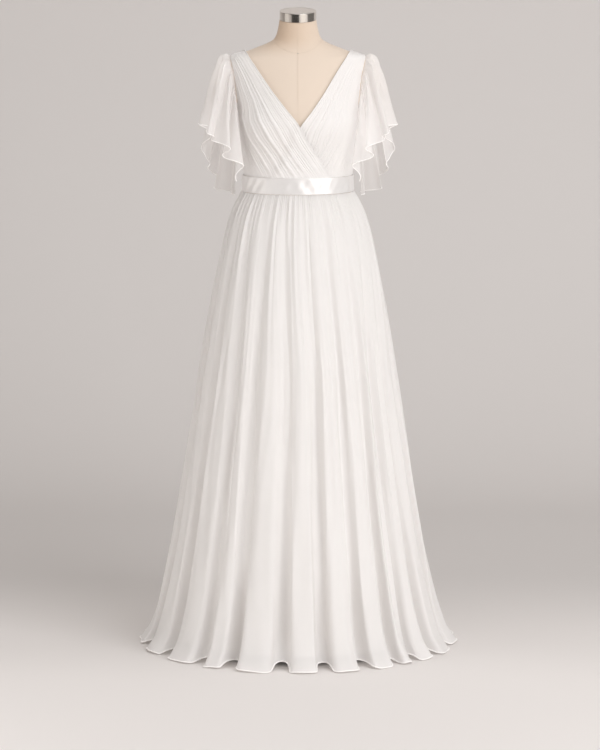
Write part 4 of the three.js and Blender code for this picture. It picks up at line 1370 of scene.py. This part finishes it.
class DressBodice(bpy.types.PropertyGroup):
    pleat_depth: length_prop("Pleat depth", "How far the pleats stand up", 0.0018, 0.01)
    crinkle_height: length_prop("Crinkles", "Height of the fine crinkles between the pleats", 0.0011, 0.005)
    edge_radius: radius_prop("Edge roll", "Radius of the roll along the neckline", 0.0009)
    seed: seed_prop("Pattern of the pleats", 7)


class DressBand(bpy.types.PropertyGroup):
    ripple_height: length_prop("Ripples", "Height of the satin's soft ripples", 0.0014, 0.005)
    seed: seed_prop("Pattern of the ripples", 3)


class DressSkirt(bpy.types.PropertyGroup):
    columns_a_fold: count_prop("Columns", "Columns of the mesh in each main fold", 44, 8, 80)
    gathers: count_prop("Gathers", "Small gathers at the waist, all round", 62, 20, 200)
    gather_depth: length_prop("Gather depth", "Height of the gathers", 0.0038, 0.01)
    crease_depth: length_prop("Creases", "Height of the long soft creases", 0.0027, 0.02)
    ridge_depth: length_prop("Ridges", "Height of the thin ridges along the folds", 0.0026, 0.02)
    hem_radius: radius_prop("Hem roll", "Radius of the rolled hem", 0.0017)
    seed: seed_prop("Pattern of the folds", 11)


class DressSleeves(bpy.types.PropertyGroup):
    columns: count_prop("Columns", "Columns of the mesh round each sleeve", 280, 40, 500)
    rows: count_prop("Rows", "Rows of the mesh down each sleeve", 80, 10, 200)
    wave_depth: length_prop("Wave depth", "How far the waves swing in and out", 0.015, 0.04)
    overlap: length_prop("Overlap", "How far each wave laps over the next", 0.018, 0.04)
    head_rise: length_prop("Head rise", "How far the gathered head stands up off the shoulder", 0.017, 0.03)
    head_gather: length_prop("Head gathers", "Height of the gathers at the sleeve's head", 0.0046, 0.01)
    hem_radius: radius_prop("Hem roll", "Radius of the rolled hem", 0.0012)
    seed: seed_prop("Pattern of the gathers", 5)


class DressStage(bpy.types.PropertyGroup):
    key_power: power_prop("Key light", "Power of the main light", 310)
    fill_power: power_prop("Fill light", "Power of the light opposite it", 4)
    low_power: power_prop("Low light", "Power of the low lights beside the skirt", 8)
    top_power: power_prop("Top light", "Power of the light overhead", 35)
    backdrop_power: power_prop("Backdrop light", "Power of the light on the wall", 8)
    world_strength: bpy.props.FloatProperty(
        name="Surrounding light", description="Strength of the light from all round", default=0.58, min=0
    )


class DRESS_OT_materials(bpy.types.Operator):
    """Make the cloth, satin and lining materials"""

    bl_idname = "dress.materials"
    bl_label = "Materials"

    def execute(self, context):
        colours = context.scene.dress_colours
        for name, (see_through, light_through) in SHEERNESS.items():
            cloth_material(name + " chiffon", colours.chiffon, CHIFFON, see_through, light_through)
        # The rolled hems are painted a little paler than the chiffon: a painted highlight along the roll.
        highlighted_chiffon = [min(1, c * 1.05) for c in colours.chiffon]
        cloth_material("rolled hem chiffon", highlighted_chiffon, ROLLED_CHIFFON, coordinates="Object")
        cloth_material("lining", colours.lining, PLAIN_LINING)
        satin_material(colours.satin)
        return {"FINISHED"}


# The operators in their order, each with the settings that it reads
STEPS = (
    (DRESS_OT_materials, "dress_colours", DressColours),
    (DRESS_OT_form, "", None),
    (DRESS_OT_bodice, "dress_bodice", DressBodice),
    (DRESS_OT_waistband, "dress_band", DressBand),
    (DRESS_OT_skirt, "dress_skirt", DressSkirt),
    (DRESS_OT_sleeves, "dress_sleeves", DressSleeves),
    (DRESS_OT_stage, "dress_stage", DressStage),
)


class DRESS_PT_panel(bpy.types.Panel):
    bl_label = "Wedding dress"
    bl_idname = "DRESS_PT_panel"
    bl_space_type = "VIEW_3D"
    bl_region_type = "UI"
    bl_category = "Dress"

    def draw(self, context):
        for operator, holder, group in STEPS:
            box = self.layout.box()
            for name in (group.__annotations__ if group else ()):
                box.prop(getattr(context.scene, holder), name)
            box.operator(operator.bl_idname)


def register():
    for operator, holder, group in STEPS:
        bpy.utils.register_class(operator)
        if group:
            bpy.utils.register_class(group)
            setattr(bpy.types.Scene, holder, bpy.props.PointerProperty(type=group))
    bpy.utils.register_class(DRESS_PT_panel)


def unregister():
    bpy.utils.unregister_class(DRESS_PT_panel)
    for operator, holder, group in reversed(STEPS):
        if group:
            delattr(bpy.types.Scene, holder)
            bpy.utils.unregister_class(group)
        bpy.utils.unregister_class(operator)


def main():
    register()
    weave_group()
    cloud_group()
    rolled_edge_tree()
    stitch_tree()
    bpy.ops.dress.materials()
    bpy.ops.dress.form()
    bpy.ops.dress.bodice()
    bpy.ops.dress.waistband()
    bpy.ops.dress.skirt()
    bpy.ops.dress.sleeves()
    bpy.ops.dress.stage()
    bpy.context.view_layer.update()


if __name__ == "__main__":
    main()
